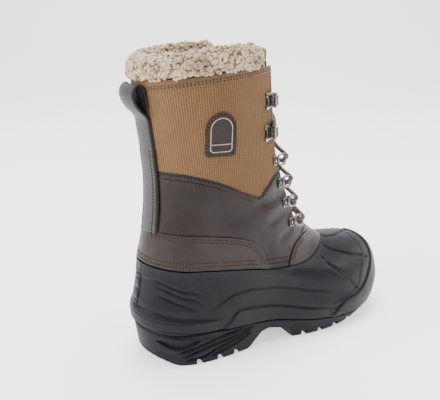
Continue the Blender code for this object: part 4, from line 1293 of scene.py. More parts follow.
def shell_piece(look):
    """The rubber shell with its bumper, foxing, toe cap and rim."""
    levels = np.concatenate([np.linspace(1.0, 2.6, 62), np.linspace(2.65, 7.0, 84)])
    outer = relief_skin(levels, shell_relief)
    turns = ring_turns()
    flange = [UPPER_FORM.skin(turns, level, -UPPER_WALL - 0.3 * MM) for level in (0.0, 0.8)]
    flange += [UPPER_FORM.skin(turns, level, -UPPER_WALL - 2.3 * MM) for level in (0.8, 0.0)]
    inner = [RUBBER_FORM.skin(turns, level, -SHELL_WALL) for level in (6.3, 5.2, 4.0, 2.7, 1.4)]
    foot = RUBBER_FORM.skin(turns, 1.0, -SHELL_WALL - SOLE_LEDGE)
    foot[:, 2] = outer[0][:, 2]
    return ring_solid("shell", [*outer, *flange, *inner, foot], look, 78, ends=False)


def tread_height(place):
    return float(smooth(STATIONS, RUBBER[0][4], [place])[0]) * SHELL_HEIGHT


def tread_cutters():
    """The arch, the cross grooves and the middle grooves as one cutter."""
    arch = [(x_at(along), up * SHELL_HEIGHT) for along, up in ARCH_PROFILE]
    whole = prism(arch, "Y", -BALL_WIDTH, BALL_WIDTH)
    half = GROOVE_WIDTH / 2
    for place in HEEL_GROOVES + FORE_GROOVES:
        x = x_at(place)
        back = [(x - half, -BALL_WIDTH), (x + GROOVE_SWEEP - half, 0), (x - half, BALL_WIDTH)]
        front = [(x + half, BALL_WIDTH), (x + GROOVE_SWEEP + half, 0), (x + half, -BALL_WIDTH)]
        cut(whole, prism(back + front, "Z", -0.01, tread_height(place) + LUG_DEPTH), "UNION")
    for field in (HEEL_FIELD, FORE_FIELD):
        top = [(x_at(p), tread_height(p) + LUG_DEPTH - 1.2 * MM) for p in np.linspace(*field, 5)]
        outline = [(top[0][0], -0.011), *top, (top[-1][0], -0.011)]
        cut(whole, prism(outline, "Y", -CENTRE_GROOVE_WIDTH / 2, CENTRE_GROOVE_WIDTH / 2), "UNION")
    return whole


def outsole_piece(look):
    """The sole with its ribs, arch and lugs."""
    levels = np.concatenate([[0.0, 0.02, 0.04], np.linspace(0.07, 1.0, 46)])
    rings = list(relief_skin(levels, sole_relief))
    turns = ring_turns()
    rim = RUBBER_FORM.skin(turns, 1.0, -SHELL_WALL - SOLE_LEDGE - 0.3 * MM)
    rim[:, 2] = rings[-1][:, 2]
    floor = RUBBER_FORM.skin(turns, 1.0, -SHELL_WALL - SOLE_LEDGE - 0.9 * MM)
    floor[:, 2] = smooth(STATIONS, FOOT_BED, along_of(turns)) * SHELL_HEIGHT
    sole = ring_solid("sole", rings + [rim, floor], look, 50, ends=True)
    cut(sole, tread_cutters())
    for corner in sole.data.vertices:
        corner.co.z = max(corner.co.z, 0.0)
    return finished(sole, 40)


def throat_outline(margin=0.0):
    """The throat seen from the front, as (y, z) points."""
    half, base = THROAT_HALF + margin, SHELL_HEIGHT + THROAT_RISE - margin
    right = [
        (half - THROAT_RADIUS * (1 - math.sin(a)), base + THROAT_RADIUS * (1 - math.cos(a)))
        for a in np.linspace(0, math.pi / 2, 12)
    ]
    right.append((half + THROAT_FLARE, z_at(THROAT_TOP)))
    return right + [(-y, z) for y, z in right[::-1]]


def throat_cutter(margin=0.0):
    return prism(throat_outline(margin), "X", -0.03, LENGTH)


def leather_piece(look):
    """The leather part of the shaft, up to the yoke line."""
    skin = upper_skin("leather", even(0.0), YOKE_LINE, 64, 0.7 * MM, leather_relief, look)
    thick(skin, UPPER_WALL + 0.4 * MM)
    return finished(cut(skin, throat_cutter()), 40)


def nylon_piece(look):
    """The woven part of the shaft, from under the yoke line to the collar."""
    under = [(turn, level - NYLON_OVERLAP) for turn, level in YOKE_LINE]
    skin = upper_skin("nylon", under, even(COLLAR_LEVEL), 30, 0.0, None, look)
    thick(skin, UPPER_WALL - 0.2 * MM)
    return finished(cut(skin, throat_cutter()), 40)


def lining_piece(look):
    """Short fleece on the inside of the shaft."""
    foot, top = LINING_LEVELS
    bottom = ((0.0, foot), (0.25, foot), (0.5, 0.4))
    skin = upper_skin("lining", bottom, even(top), 40, -UPPER_WALL - 0.4 * MM, None, look)
    thick(skin, 0.9 * MM)
    skin = finished(cut(skin, throat_cutter()))
    area = sum(face.area for face in skin.data.polygons) / 2
    rings = [UPPER_FORM.bare(ring_turns(), level) for level in (0.2, 2.0, 4.0, 6.0, top)]
    width = max(run_length(np.concatenate([ring[-1:], ring])) for ring in rings)
    back = UPPER_FORM.bare(0.0, np.linspace(foot, top, 60))
    return skin, (width, run_length(back) * LINING_SLACK), area


def run_length(path):
    return float(np.linalg.norm(np.diff(path, axis=0), axis=1).sum())


def overlay_shape(name, outline, look, ends=OVERLAY_LEVELS, out=OVERLAY_OUT, thickness=OVERLAY_THICK):
    """A band of leather between two levels, cut to an outline seen from the side."""
    turns = signed(np.arange(SHAFT_COLUMNS) / SHAFT_COLUMNS)
    grid = UPPER_FORM.spread(turns, np.linspace(*ends, 26))
    outer = UPPER_FORM.skin(*grid, out + thickness)
    inner = UPPER_FORM.skin(*grid, out)[::-1]
    band = ring_solid(name, [*outer, *inner], look, 50, ends=False)
    return cut(band, prism(outline, "Y", -BALL_WIDTH, BALL_WIDTH), "INTERSECT")


def side_line(places):
    """The side view of (turn, level) places on the upper, as (x, z) points."""
    line = drawn_line(UPPER_FORM, places, 60)
    return [(float(x), float(z)) for x, _, z in line]


def counter_piece(look):
    line = side_line(COUNTER_EDGE)
    outline = [(x_at(-0.05), line[0][1]), *line, (line[-1][0], 0.05), (x_at(-0.05), 0.05)]
    return finished(overlay_shape("counter_patch", outline, look), 40)


def vamp_piece(look):
    line = side_line(VAMP_EDGE)
    outline = [(line[0][0], 0.05), *line, (x_at(0.585), z_at(0.018)), (x_at(0.64), z_at(0.034))]
    outline += [(x_at(0.76), z_at(0.034)), (x_at(0.76), 0.05)]
    band = overlay_shape("vamp_patch", outline, look)
    return finished(cut(band, throat_cutter(1.5 * MM)), 40)


def badge_outline(shrink=0.0):
    """The badge seen from the side: straight sides under a round arch."""
    half_wide, half_high = BADGE_WIDTH / 2 - shrink, BADGE_HEIGHT / 2 - shrink
    x, z = x_at(BADGE_CENTRE[0]), z_at(BADGE_CENTRE[1])
    corner = BADGE_CORNER
    arch = [
        (x + half_wide * math.cos(a), z + half_high - half_wide + half_wide * math.sin(a))
        for a in np.linspace(0, math.pi, 25)
    ]
    foot = [
        (x - half_wide + corner - corner * math.cos(a), z - half_high + corner - corner * math.sin(a))
        for a in np.linspace(0, math.pi / 2, 6)
    ]
    return arch + foot + [(2 * x - px, pz) for px, pz in foot[::-1]]


TRACE_TURNS, TRACE_LEVELS = np.meshgrid(np.linspace(0.02, 0.48, 116), np.linspace(0.0, 8.9, 120))
TRACE_POINTS = UPPER_FORM.bare(TRACE_TURNS, TRACE_LEVELS)


def traced(outline, out, side=1):
    """Side-view (x, z) points laid on the upper, found by a grid and then by Newton steps."""
    x, z = np.array(outline, float).T
    side_view = TRACE_POINTS[..., ::2]
    near = [np.argmin(((side_view - spot) ** 2).sum(axis=-1)) for spot in zip(x, z)]
    turns, levels = TRACE_TURNS.ravel()[near], TRACE_LEVELS.ravel()[near]
    for _ in range(5):
        here = UPPER_FORM.bare(turns, levels)
        by_turn = (UPPER_FORM.bare(turns + 1e-3, levels) - here) / 1e-3
        by_level = (UPPER_FORM.bare(turns, np.minimum(levels + 1e-2, 9.0)) - here) / 1e-2
        gap_x, gap_z = x - here[:, 0], z - here[:, 2]
        size = by_turn[:, 0] * by_level[:, 2] - by_level[:, 0] * by_turn[:, 2]
        turns = turns + (gap_x * by_level[:, 2] - by_level[:, 0] * gap_z) / size
        levels = np.clip(levels + (by_turn[:, 0] * gap_z - gap_x * by_turn[:, 2]) / size, 0, 8.95)
    return UPPER_FORM.skin(side * turns, levels, out)


def badge_pieces(look, line_look):
    """The arch-topped patch, bare inside a pale raised line."""
    band = overlay_shape("badge_patch", badge_outline(), look, (5.2, 8.0), 0.1 * MM, 1.1 * MM)
    cut(band, prism([(-1, -1), (1, -1), (1, 1), (-1, 1)], "Y", -1, 0), "INTERSECT")
    inner = traced(badge_outline(BADGE_INSET), BADGE_LINE_OUT)
    ring = tube("badge_line", catmull(inner, 3, closed=True), 0.45 * MM, 8, line_look, closed=True)
    half = BADGE_WIDTH / 2 - BADGE_INSET
    low = z_at(BADGE_CENTRE[1]) - BADGE_HEIGHT / 2 + BADGE_BAR_RISE
    bar = [(x_at(BADGE_CENTRE[0]) + share * half, low) for share in np.linspace(-1, 1, 9)]
    line = tube("bar", traced(bar, BADGE_LINE_OUT), 0.4 * MM, 8, line_look)
    return finished(band, 40), joined("badge_line", [ring, line])


def tongue_grid(out, rows=44, columns=29):
    turns = 0.5 + np.linspace(-TONGUE_TURN, TONGUE_TURN, columns)
    grid_turns, grid = np.meshgrid(turns, np.linspace(*TONGUE_LEVELS, rows))
    corner = TONGUE_CORNER * np.abs(np.linspace(-1, 1, columns)) ** 4
    grid = grid - corner * soft_step((grid - 8.0) / 0.8)
    return UPPER_FORM.skin(grid_turns, grid, out)


def tongue_pieces(look, edge_look, back_look):
    """The tongue's woven front, its piped edge and its fleece back."""
    front_out = -UPPER_WALL - 0.8 * MM
    front = tongue_grid(front_out)
    rows, columns = front.shape[:2]
    panel = mesh_object("tongue_front", front, grid_faces(rows, columns), look, skin_uv(front))
    face_outward(panel)
    thick(panel, 1.4 * MM)
    back = tongue_grid(front_out - TONGUE_THICK + 1.4 * MM)
    pad = mesh_object("tongue_back", back, grid_faces(rows, columns), back_look, skin_uv(back))
    face_outward(pad)
    thick(pad, 1.6 * MM)
    border = np.concatenate([front[4:, 0], front[-1, 1:-1], front[4:, -1][::-1]])
    middle = tongue_grid(front_out - TONGUE_THICK / 2)
    spine = np.concatenate([middle[4:, 0], middle[-1, 1:-1], middle[4:, -1][::-1]])
    piping = tube("tongue_piping", catmull((border + spine) / 2, 2), 1.7 * MM, 10, edge_look)
    return finished(panel, 40, False), finished(pad, 40, False), piping


def face_outward(obj):
    """Turns a sheet's faces so that they look away from the boot's middle."""
    mesh = obj.data
    centre = Vector((x_at(0.27), 0, 0))
    total = 0.0
    for polygon in mesh.polygons:
        away = polygon.center - centre
        away.z = 0
        total += polygon.normal.dot(away) * polygon.area
    if total < 0:
        mesh.flip_normals()


def collar_edge(turns):
    """The collar's edge and the level direction away from it."""
    ahead = UPPER_FORM.bare(turns + 0.004, COLLAR_LEVEL) - UPPER_FORM.bare(turns - 0.004, COLLAR_LEVEL)
    outward = np.column_stack([ahead[:, 1], -ahead[:, 0], np.zeros(len(turns))])
    return UPPER_FORM.bare(turns, COLLAR_LEVEL), outward / np.linalg.norm(outward, axis=1, keepdims=True)


def fleece_base(look, shrink=1.6):
    """The fleece cuff under its curls, lumpy and open at the throat."""
    columns, rounds = CUFF_COLUMNS, CUFF_ROUNDS
    section = catmull(FLEECE_SECTION, 5, closed=True)
    section = section[np.linspace(0, len(section), rounds, endpoint=False).astype(int)]
    centre = np.array(FLEECE_CENTRE)
    reach = np.linalg.norm(section - centre, axis=1, keepdims=True)
    section = centre + (section - centre) * (reach - shrink) / reach
    turns = np.linspace(-FLEECE_TURN, FLEECE_TURN, columns) * CUFF_SHARE
    foot, outward = collar_edge(turns)
    number, place = np.meshgrid(np.arange(columns), np.arange(rounds), indexing="ij")
    from_end = np.minimum(number, columns - 1 - number)
    rounded = np.sqrt(np.minimum(1.0, from_end / CUFF_END_COLUMNS + 0.04))
    end = np.where(section[None, :, 1] > 2, rounded, 1.0)
    lump = 1 + CUFF_LUMP * np.sin(0.55 * number + 2.2 * np.sin(0.31 * place)) * np.sin(0.47 * place)
    away = (centre[0] + (section[None, :, 0] - centre[0]) * lump * end) * MM
    high = (centre[1] + (section[None, :, 1] - centre[1]) * lump * end) * MM
    over = foot[:, None] + outward[:, None] * away[..., None] + high[..., None] * np.array([0, 0, 1.0])
    levels = COLLAR_LEVEL + np.minimum(high, 0) / LEVEL_RISE
    inside = UPPER_FORM.skin(np.broadcast_to(turns[:, None], levels.shape), levels, away)
    points = np.where(high[..., None] > 0, over, inside)
    faces = grid_faces(columns, rounds, closed=True)
    last = (columns - 1) * rounds
    faces += [tuple(range(rounds)), tuple(range(last + rounds - 1, last - 1, -1))]
    return finished(mesh_object("fleece_base", points.reshape(-1, 3), faces, look), 180)


def shows(spot, normal):
    """Whether a place on the cuff is clear of the shaft's wall."""
    foot, outward = SHOWN_EDGE
    near = int(np.argmin(((foot - np.array(spot)) ** 2)[:, :2].sum(axis=1)))
    return spot.z > foot[near, 2] + 2.2 * MM or float(np.dot(outward[near], np.array(normal))) < -0.3


SHOWN_EDGE = collar_edge(np.linspace(-0.5, 0.5, 240))


def face_share(obj, wanted):
    """A copy of an object with only the faces whose centre and normal are wanted."""
    copy = new_object("fleece_ground", obj.data.copy())
    with editing(copy.data) as work:
        gone = [face for face in work.faces if not wanted(face.calc_center_median(), face.normal)]
        bmesh.ops.delete(work, geom=gone, context="FACES")
    return copy


def strap_rows(out_shift=0.0, turns=None):
    turns = np.linspace(-STRAP_TURN, STRAP_TURN, 13) if turns is None else turns
    fine = catmull(STRAP_PATH, 8)
    fine = fine[np.linspace(0, len(fine) - 1, STRAP_ROWS).astype(int)]
    rows = []
    for level, out in fine:
        over_leather = 0.6 * (1 - soft_step((level - 5.0) / 0.5)) if out < 2 else 0.0
        close = min(out, STRAP_CLOSE) + over_leather + out_shift
        row = UPPER_FORM.skin(turns, float(level), close * MM)
        rows.append(row - np.array([(out - min(out, STRAP_CLOSE)) * MM, 0, 0]))
    return np.array(rows)


def strap_pieces(look, edge_look):
    """The back stay and pull loop in one tape, with piped edges."""
    rows = strap_rows()
    normal = np.cross(np.gradient(rows, axis=1), np.gradient(rows, axis=0))
    normal /= np.linalg.norm(normal, axis=-1, keepdims=True)
    half = STRAP_THICK / 2
    outer, inner = rows + normal * half, rows - normal * half
    count, across = rows.shape[:2]
    uv = skin_uv(rows)
    faces = grid_faces(count, across)
    faces += [tuple(len(rows) * across + i for i in face[::-1]) for face in grid_faces(count, across)]
    edge = [(0, c) for c in range(across)] + [(r, across - 1) for r in range(1, count)]
    edge += [(count - 1, c) for c in range(across - 2, -1, -1)] + [(r, 0) for r in range(count - 2, 0, -1)]
    numbers = [r * across + c for r, c in edge]
    total = count * across
    faces += [(a, total + a, total + b, b) for a, b in zip(numbers, numbers[1:] + numbers[:1])]
    both_uv = np.concatenate([uv.reshape(-1, 2), uv.reshape(-1, 2)])
    points = np.concatenate([outer.reshape(-1, 3), inner.reshape(-1, 3)])
    tape = finished(mesh_object("strap_tape", points, faces, look, both_uv), 50)
    pipes = []
    for column, inward in ((0, 1), (-1, -2)):
        along = rows[:, inward] - rows[:, column]
        path = rows[:, column] + along * 0.35
        pipes.append(tube("strap_pipe", path, PIPE_RADIUS, 10, edge_look, flat=PIPE_FLAT, across=along))
    return tape, pipes


def surface_frame(turn, level):
    """A matrix on the upper's outside: forward, up and outward."""
    side = -1 if turn > 0 else 1
    origin = UPPER_FORM.bare(turn, level)
    forward = (UPPER_FORM.bare(turn + 0.002, level) - UPPER_FORM.bare(turn - 0.002, level)) * -side
    forward /= np.linalg.norm(forward)
    outward = UPPER_FORM.normal(turn, level)
    upward = np.cross(outward, forward) * -side
    upward /= np.linalg.norm(upward)
    found = Matrix.Identity(4)
    for column, axis in enumerate((forward, upward, outward)):
        found.col[column][:3] = axis
    found.translation = Vector(origin)
    return found


def frame_at(side, y, height):
    """The matrix at a width and height beside the throat."""
    levels = np.linspace(1.0, COLLAR_LEVEL, 400)
    turns = np.full(levels.shape, 0.42)
    for _ in range(12):
        points = UPPER_FORM.bare(turns, levels)
        turns = turns + (np.abs(points[:, 1]) - y) / (math.pi * BALL_WIDTH * 0.8)
    points = UPPER_FORM.bare(turns, levels)
    place = int(np.argmin(np.abs(points[:, 2] - height)))
    return surface_frame(-side * turns[place], levels[place])


def rounded_box(name, size, start, lift, place, look, rounding):
    """A softened block on the upper: size forward, up and outward, its start and lift."""
    length, width, thickness = size
    mesh = bpy.data.meshes.new(name)
    with editing(mesh) as work:
        bmesh.ops.create_cube(work, size=1)
        shape = Matrix.Translation((start + length / 2, 0, lift + thickness / 2))
        work.transform(shape @ Matrix.Diagonal((length, width, thickness, 1)))
        bmesh.ops.bevel(
            work, geom=work.edges[:], offset=rounding, segments=3, affect="EDGES", profile=0.5
        )
        set_down(work, place)
    obj = new_object(name, mesh, look)
    shade(mesh, 50)
    return obj


def set_down(work, place):
    """Moves a mesh to its place, its faces still looking out where the place mirrors it."""
    work.transform(place)
    if place.determinant() < 0:
        bmesh.ops.reverse_faces(work, faces=work.faces)


def rivet(place, x, y, lift, radius, look):
    mesh = bpy.data.meshes.new("rivet")
    with editing(mesh) as work:
        bmesh.ops.create_uvsphere(work, u_segments=16, v_segments=10, radius=radius)
        set_down(work, place @ Matrix.Translation((x, y, lift)) @ Matrix.Diagonal((1, 1, 0.45, 1)))
    shade(mesh)
    return new_object("rivet", mesh, look)


def clip_blocks(blocks, place, lift, metal, dark):
    """The softened blocks of a clip, set on the upper."""
    made = []
    for name, size, start, across, rise, rounding, bare in blocks:
        size = [length * MM for length in size]
        spot = place @ Matrix.Translation((0, across * MM, 0))
        finish = metal if bare else dark
        made.append(rounded_box(name, size, start * MM, lift + rise * MM, spot, finish, rounding * MM))
    return made


def ring_pieces(name, side, height, metal, dark):
    """A wire loop held by a folded clip with a rivet."""
    place = frame_at(side, RING_ACROSS * BALL_WIDTH, z_at(height))
    lift = (0.75 if height < 0.5 else 0.2) * MM
    tilt = math.radians(RING_TILT)
    loop = []
    for a in 2 * math.pi * np.arange(24) / 24:
        reach = RING_RADIUS * (1 - math.cos(a)) * 0.95
        wide = RING_RADIUS * 1.12 * math.copysign(abs(math.sin(a)) ** 0.75, math.sin(a))
        spot = Vector((4.6 * MM + reach * math.cos(tilt), wide, lift + 1.5 * MM + reach * math.sin(tilt)))
        loop.append(place @ spot)
    wire = tube(name, np.array(loop), RING_WIRE, 10, metal, closed=True)
    parts = [wire, *clip_blocks(RING_BLOCKS, place, lift, metal, dark)]
    parts.append(rivet(place, -2.4 * MM, 0, lift + 1.5 * MM, 1.7 * MM, metal))
    return joined(name, parts)


def hook_pieces(name, side, across, height, metal, dark):
    """A speed hook: a riveted plate whose lip is bent back over it, with a dark middle."""
    place = frame_at(side, across * BALL_WIDTH, z_at(height))
    lift = 0.2 * MM
    path = np.array([place @ Vector((x * MM, 0, lift + z * MM)) for x, z in HOOK_PROFILE])
    wide = np.array(place.to_3x3() @ Vector((0, 1, 0)))
    bent = catmull(path, 4)
    strip = tube(name, bent, 6.2 * MM, 16, metal, flat=0.11, across=np.broadcast_to(wide, bent.shape))
    return joined(name, [strip, *clip_blocks(HOOK_BLOCKS, place, lift, metal, dark)])


def lace_anchor(side, row):
    """Where the lace passes through a ring or round a hook."""
    hook = row - len(RING_ROWS)
    if hook >= 0:
        place = frame_at(side, HOOK_ACROSS[hook] * BALL_WIDTH, z_at(HOOK_ROWS[hook]))
        return place, Vector((0.2 * MM, 0, 3.6 * MM))
    tilt = math.radians(RING_TILT)
    reach = RING_RADIUS * 1.45
    place = frame_at(side, RING_ACROSS * BALL_WIDTH, z_at(RING_ROWS[row]))
    outward = 0.75 * MM + 1.5 * MM + reach * math.sin(tilt)
    return place, Vector((4.6 * MM + reach * math.cos(tilt), 0, outward))


def over_throat(y, height, out):
    """A point over the throat's middle line."""
    levels = np.linspace(1.0, COLLAR_LEVEL, 500)
    front = UPPER_FORM.bare(0.5, levels)
    place = int(np.argmin(np.abs(front[:, 2] - height)))
    level = levels[place]
    beside = UPPER_FORM.bare(0.42, level)
    drop = (front[place, 0] - beside[0]) * (y / beside[1]) ** 2
    return np.array([front[place, 0] - drop, y, front[place, 2]]) + UPPER_FORM.normal(0.5, level) * out


def lace_path(side):
    """One half of the lace from the bottom bar to the top hooks, crossing at each row."""
    rows = RING_ROWS + HOOK_ROWS
    path = [over_throat(0.0, z_at(rows[0]), 0.8 * MM), over_throat(side * 0.013, z_at(rows[0]), 1.8 * MM)]
    for row, height in enumerate(rows):
        place, spot = lace_anchor(side, row)
        for step in THROUGH_RING if row < len(RING_ROWS) else ROUND_HOOK:
            path.append(np.array(place @ (spot + Vector([value * MM for value in step]))))
        if row + 1 < len(rows):
            over = 2.6 * MM if side > 0 else 0.2 * MM
            low, high = z_at(height) + 6 * MM, z_at(rows[row + 1]) - 3.0 * MM
            path.append(over_throat(side * CROSSING_HALF, low + (high - low) * 0.16, 1.6 * MM))
            path.append(over_throat(0.0, (low + high) / 2, 1.4 * MM + over))
            path.append(over_throat(-side * CROSSING_HALF, low + (high - low) * 0.84, 1.6 * MM))
            side = -side
    return np.array(path)


def insole_piece(look):
    """The felt foot bed with a rounded edge."""
    turns = ring_turns()[::2]
    bed = smooth(STATIONS, FOOT_BED, along_of(turns)) * SHELL_HEIGHT + 0.3 * MM
    inset = -SHELL_WALL - SOLE_LEDGE - 1.2 * MM
    rings = []
    for drop, high in ((0.0, 0.0), (0.0, 4.4), (-0.5, 5.2), (-1.4, 5.5)):
        ring = RUBBER_FORM.skin(turns, 1.0, inset + drop * MM)
        ring[:, 2] = bed + high * MM
        rings.append(ring)
    return ring_solid("insole_felt", rings, look, 40, ends=True)


def binding_pieces(look):
    """The folded strip along the collar's edge and down the throat."""
    band = upper_skin("binding", BINDING_FOOT, even(BINDING_TOP), 8, BINDING_OUT, None, look)
    thick(band, BINDING_THICK)
    band = finished(cut(band, throat_cutter()), 40)
    edges = []
    for side in (-1, 1):
        points = []
        for height in np.linspace(0.58, 0.99, 26):
            half = THROAT_HALF + 1.4 * MM + THROAT_FLARE * height * 0.55
            place = frame_at(side, half, z_at(height) + 0.004)
            points.append(np.array(place @ Vector((0, 0, 0.1 * MM))))
        wide = np.cross((0.55, side * 0.84, 0.0), (0, 0, 1.0))
        across = np.tile(wide, (len(points), 1))
        edges.append(
            tube("throat_binding", np.array(points), 2.3 * MM, 10, look, flat=0.42, across=across)
        )
    return joined("binding", [band, *edges])


# Stitch rows


def row_object(name, rows):
    """Polylines as loose edges, for the stitch tree."""
    points, edges = [], []
    for row in rows:
        start = len(points)
        points += [tuple(map(float, point)) for point in row]
        edges += [(start + i, start + i + 1) for i in range(len(row) - 1)]
    mesh = bpy.data.meshes.new(name)
    mesh.from_pydata(points, edges, [])
    return new_object(name, mesh)


def form_row(places, out, shift=0.0, sides=(1, -1), count=260):
    """A stitch row through (turn, level) places on each side, moved up by a share of a level."""
    turns, levels = np.array(places, float).T
    at = np.linspace(turns[0], turns[-1], count)
    found = smooth(turns, levels, at) + shift
    return [UPPER_FORM.skin(side * at, found, out) for side in sides]


def offset_line(line, inset):
    """A side-view line moved across itself by inset."""
    line = np.array(line, float)
    ahead = np.gradient(line, axis=0)
    ahead /= np.linalg.norm(ahead, axis=1, keepdims=True)
    return line + np.column_stack([ahead[:, 1], -ahead[:, 0]]) * inset


def edge_rows(places, insets, out, keep):
    """Rows inside an overlay's side-view edge, on both sides of the boot."""
    rows = []
    line = side_line(places)
    for inset in insets:
        moved = [spot for spot in offset_line(line, inset) if keep(*spot)]
        for side in (1, -1):
            rows.append(traced(moved, out, side))
    return rows


def leather_rows():
    """Rows in the leather's foot, the yoke, the counter, the vamp tab, the badge and the back stay."""
    rows = []
    for shift in (0.0, DOUBLE_ROW):
        rows += form_row(LOWER_STITCH, 1.0 * MM, shift)
    rows += form_row(YOKE_LINE[:10], 1.1 * MM, -0.10) + form_row(YOKE_LINE[:9], 1.1 * MM, -0.27)
    rows += form_row(YOKE_LINE[9:16], 1.1 * MM, -0.10)
    rows += edge_rows(COUNTER_EDGE, (2.6 * MM, 5.2 * MM), ON_OVERLAY, lambda x, z: z > z_at(-0.06))
    rows += edge_rows(
        VAMP_EDGE, (2.2 * MM, 4.6 * MM), ON_OVERLAY, lambda x, z: z > z_at(-0.10) and x < x_at(0.575)
    )
    border = badge_outline(1.7 * MM)
    rows.append(traced(border + border[:1], 1.4 * MM))
    rows += strap_stitch_rows()
    for shift in (0.0, DOUBLE_ROW):
        rows += form_row([spot for spot in LOWER_STITCH if spot[0] < 0.25], ON_OVERLAY, shift)
    return rows


def strap_stitch_rows():
    """A row inside each edge of the back stay, below the loop."""
    turns = np.array([-STRAP_TURN * 0.66, STRAP_TURN * 0.66])
    rows = strap_rows(0.95, turns)
    low = rows[:, 0, 2] < z_at(0.62)
    return [rows[:STRAP_SEWN_ROWS][low[:STRAP_SEWN_ROWS], column] for column in (0, 1)]


def nylon_rows():
    """Double rows on the binding."""
    return form_row(BINDING_STITCH, 1.0 * MM) + form_row(BINDING_STITCH, 1.0 * MM, 0.09)


# Settings, operators and panel


def colour_setting(name, text, default):
    return bpy.props.FloatVectorProperty(
        name=name, description=text, subtype="COLOR", size=3, min=0, max=1, default=default
    )


def length_setting(name, text, default):
    return bpy.props.FloatProperty(
        name=name, description=text, subtype="DISTANCE", unit="LENGTH", precision=5, default=default
    )


class BootColours(bpy.types.PropertyGroup):
    """Colours of the boot's finishes."""

    rubber: colour_setting("Rubber", "Black rubber of the shell and sole", (0.0040, 0.0046, 0.0060))
    leather: colour_setting("Leather", "Brown leather of the shaft", (0.0105, 0.0058, 0.0050))
    overlay: colour_setting("Overlay", "Brown leather of the counter and vamp", (0.0175, 0.0110, 0.0098))
    # Painted shade in the weave's gaps and between its cords
    nylon_dark: colour_setting("Nylon, dark", "Between the cords of the woven nylon", (0.026, 0.0125, 0.0055))
    nylon_light: colour_setting("Nylon, light", "On the cords of the woven nylon", (0.178, 0.098, 0.045))
    fleece: colour_setting("Fleece", "Tips of the fleece", (0.64, 0.52, 0.345))
    # Roots of the fleece, kept dark partly as painted shade between the curls
    fleece_deep: colour_setting("Fleece, deep", "Roots of the fleece", (0.29, 0.19, 0.10))
    strap: colour_setting("Strap", "Pull loop and back stay", (0.030, 0.0265, 0.0290))
    thread: colour_setting("Thread", "Stitches in the leather", (0.075, 0.038, 0.029))


class BootSizes(bpy.types.PropertyGroup):
    """Sizes of the boot's small parts."""

    stitch_pitch: length_setting("Stitch pitch", "From one stitch to the next", 0.0030)
    stitch_length: length_setting("Stitch length", "Half the length of a stitch", 0.00125)
    thread_radius: length_setting("Thread radius", "Radius of the sewing thread", 0.00042)
    curl: length_setting("Curl", "Radius of a curl of fleece", 0.0019)
    curl_gap: length_setting("Curl gap", "Least distance between curls", 0.0025)
    lace_radius: length_setting("Lace radius", "Radius of the round lace", LACE_RADIUS)
    focal_length: bpy.props.FloatProperty(
        name="Focal length", description="Of the camera, in millimetres", default=45.42, min=1
    )


def colours():
    chosen = bpy.context.scene.boot_colours
    return {name: tuple(getattr(chosen, name)) for name in BootColours.__annotations__}


def sizes():
    return bpy.context.scene.boot_sizes


class BOOT_OT_stage(bpy.types.Operator):
    """Sets the floor, the soft lights and the camera"""

    bl_idname = "boot.stage"
    bl_label = "Stage"

    def execute(self, context):
        build_stage()
        return {"FINISHED"}


def build_stage():
    """A pale floor, soft lights and the camera beside the boot's heel."""
    yaw, pitch = math.radians(CAMERA_YAW), math.radians(CAMERA_PITCH)
    ahead, right = Vector((math.sin(yaw), math.cos(yaw), 0)), Vector((math.cos(yaw), -math.sin(yaw), 0))
    build_floor(ahead, right)
    for light in STUDIO:
        build_light(*light)
    world = bpy.data.worlds.new("studio")
    world.use_nodes = True
    background = world.node_tree.nodes["Background"].inputs
    background["Color"].default_value = (1, 1, 1, 1)
    background["Strength"].default_value = WORLD_STRENGTH
    bpy.context.scene.world = world
    camera = bpy.data.cameras.new("camera")
    camera.sensor_width = 36
    camera.lens = sizes().focal_length
    eye = bpy.data.objects.new("camera", camera)
    forward = Vector((math.sin(yaw) * math.cos(pitch), math.cos(yaw) * math.cos(pitch), -math.sin(pitch)))
    turned = Matrix((right, right.cross(forward), -forward)).transposed()
    eye.matrix_world = Matrix.Translation(CAMERA_SPOT) @ turned.to_4x4()
    bpy.context.scene.collection.objects.link(eye)
    bpy.context.scene.camera = eye


def build_floor(ahead, right):
    """A floor that curves up into a backdrop far behind the boot."""
    profile = [(far, 0.0) for far in FLOOR_REACH]
    for angle in np.linspace(0.1, math.pi / 2, 16):
        far = FLOOR_REACH[-1] + BACKDROP_RADIUS * math.sin(angle)
        profile.append((far, BACKDROP_RADIUS - BACKDROP_RADIUS * math.cos(angle)))
    profile.append((FLOOR_REACH[-1] + BACKDROP_RADIUS, BACKDROP_HEIGHT))
    edges = (-FLOOR_HALF_WIDTH, FLOOR_HALF_WIDTH)
    points = [ahead * far + right * wide + Vector((0, 0, high)) for far, high in profile for wide in edges]
    floor = mesh_object("floor", points, grid_faces(len(profile), 2), plain_floor())
    shade(floor.data)


def build_light(name, spot, size, power):
    light = bpy.data.lights.new(name, "AREA")
    light.shape = "RECTANGLE"
    light.size, light.size_y = size
    light.energy = power
    lamp = bpy.data.objects.new(name, light)
    lamp.location = spot
    lamp.rotation_euler = (Vector(LIGHTS_AIM) - Vector(spot)).to_track_quat("-Z", "Y").to_euler()
    bpy.context.scene.collection.objects.link(lamp)


def plain_floor():
    look = Look("pale_floor", roughness=0.9, specular=0.1)
    look.shader.inputs["Emission Color"].default_value = (0.98, 0.99, 1.0, 1)
    look.shader.inputs["Emission Strength"].default_value = FLOOR_GLOW
    return look.finish(FLOOR_PALE)


class BOOT_OT_rubber(bpy.types.Operator):
    """Makes the rubber shell and the sole"""

    bl_idname = "boot.rubber"
    bl_label = "Rubber shell and sole"

    def execute(self, context):
        chosen = colours()
        shell = shell_piece(rubber_look("shell_rubber", chosen["rubber"], 0.46))
        dress(shell, "shell_rubber", "rubber_shell")
        sole = outsole_piece(rubber_look("sole_rubber", chosen["rubber"], 0.52))
        dress(sole, "outsole_rubber", "outsole")
        return {"FINISHED"}


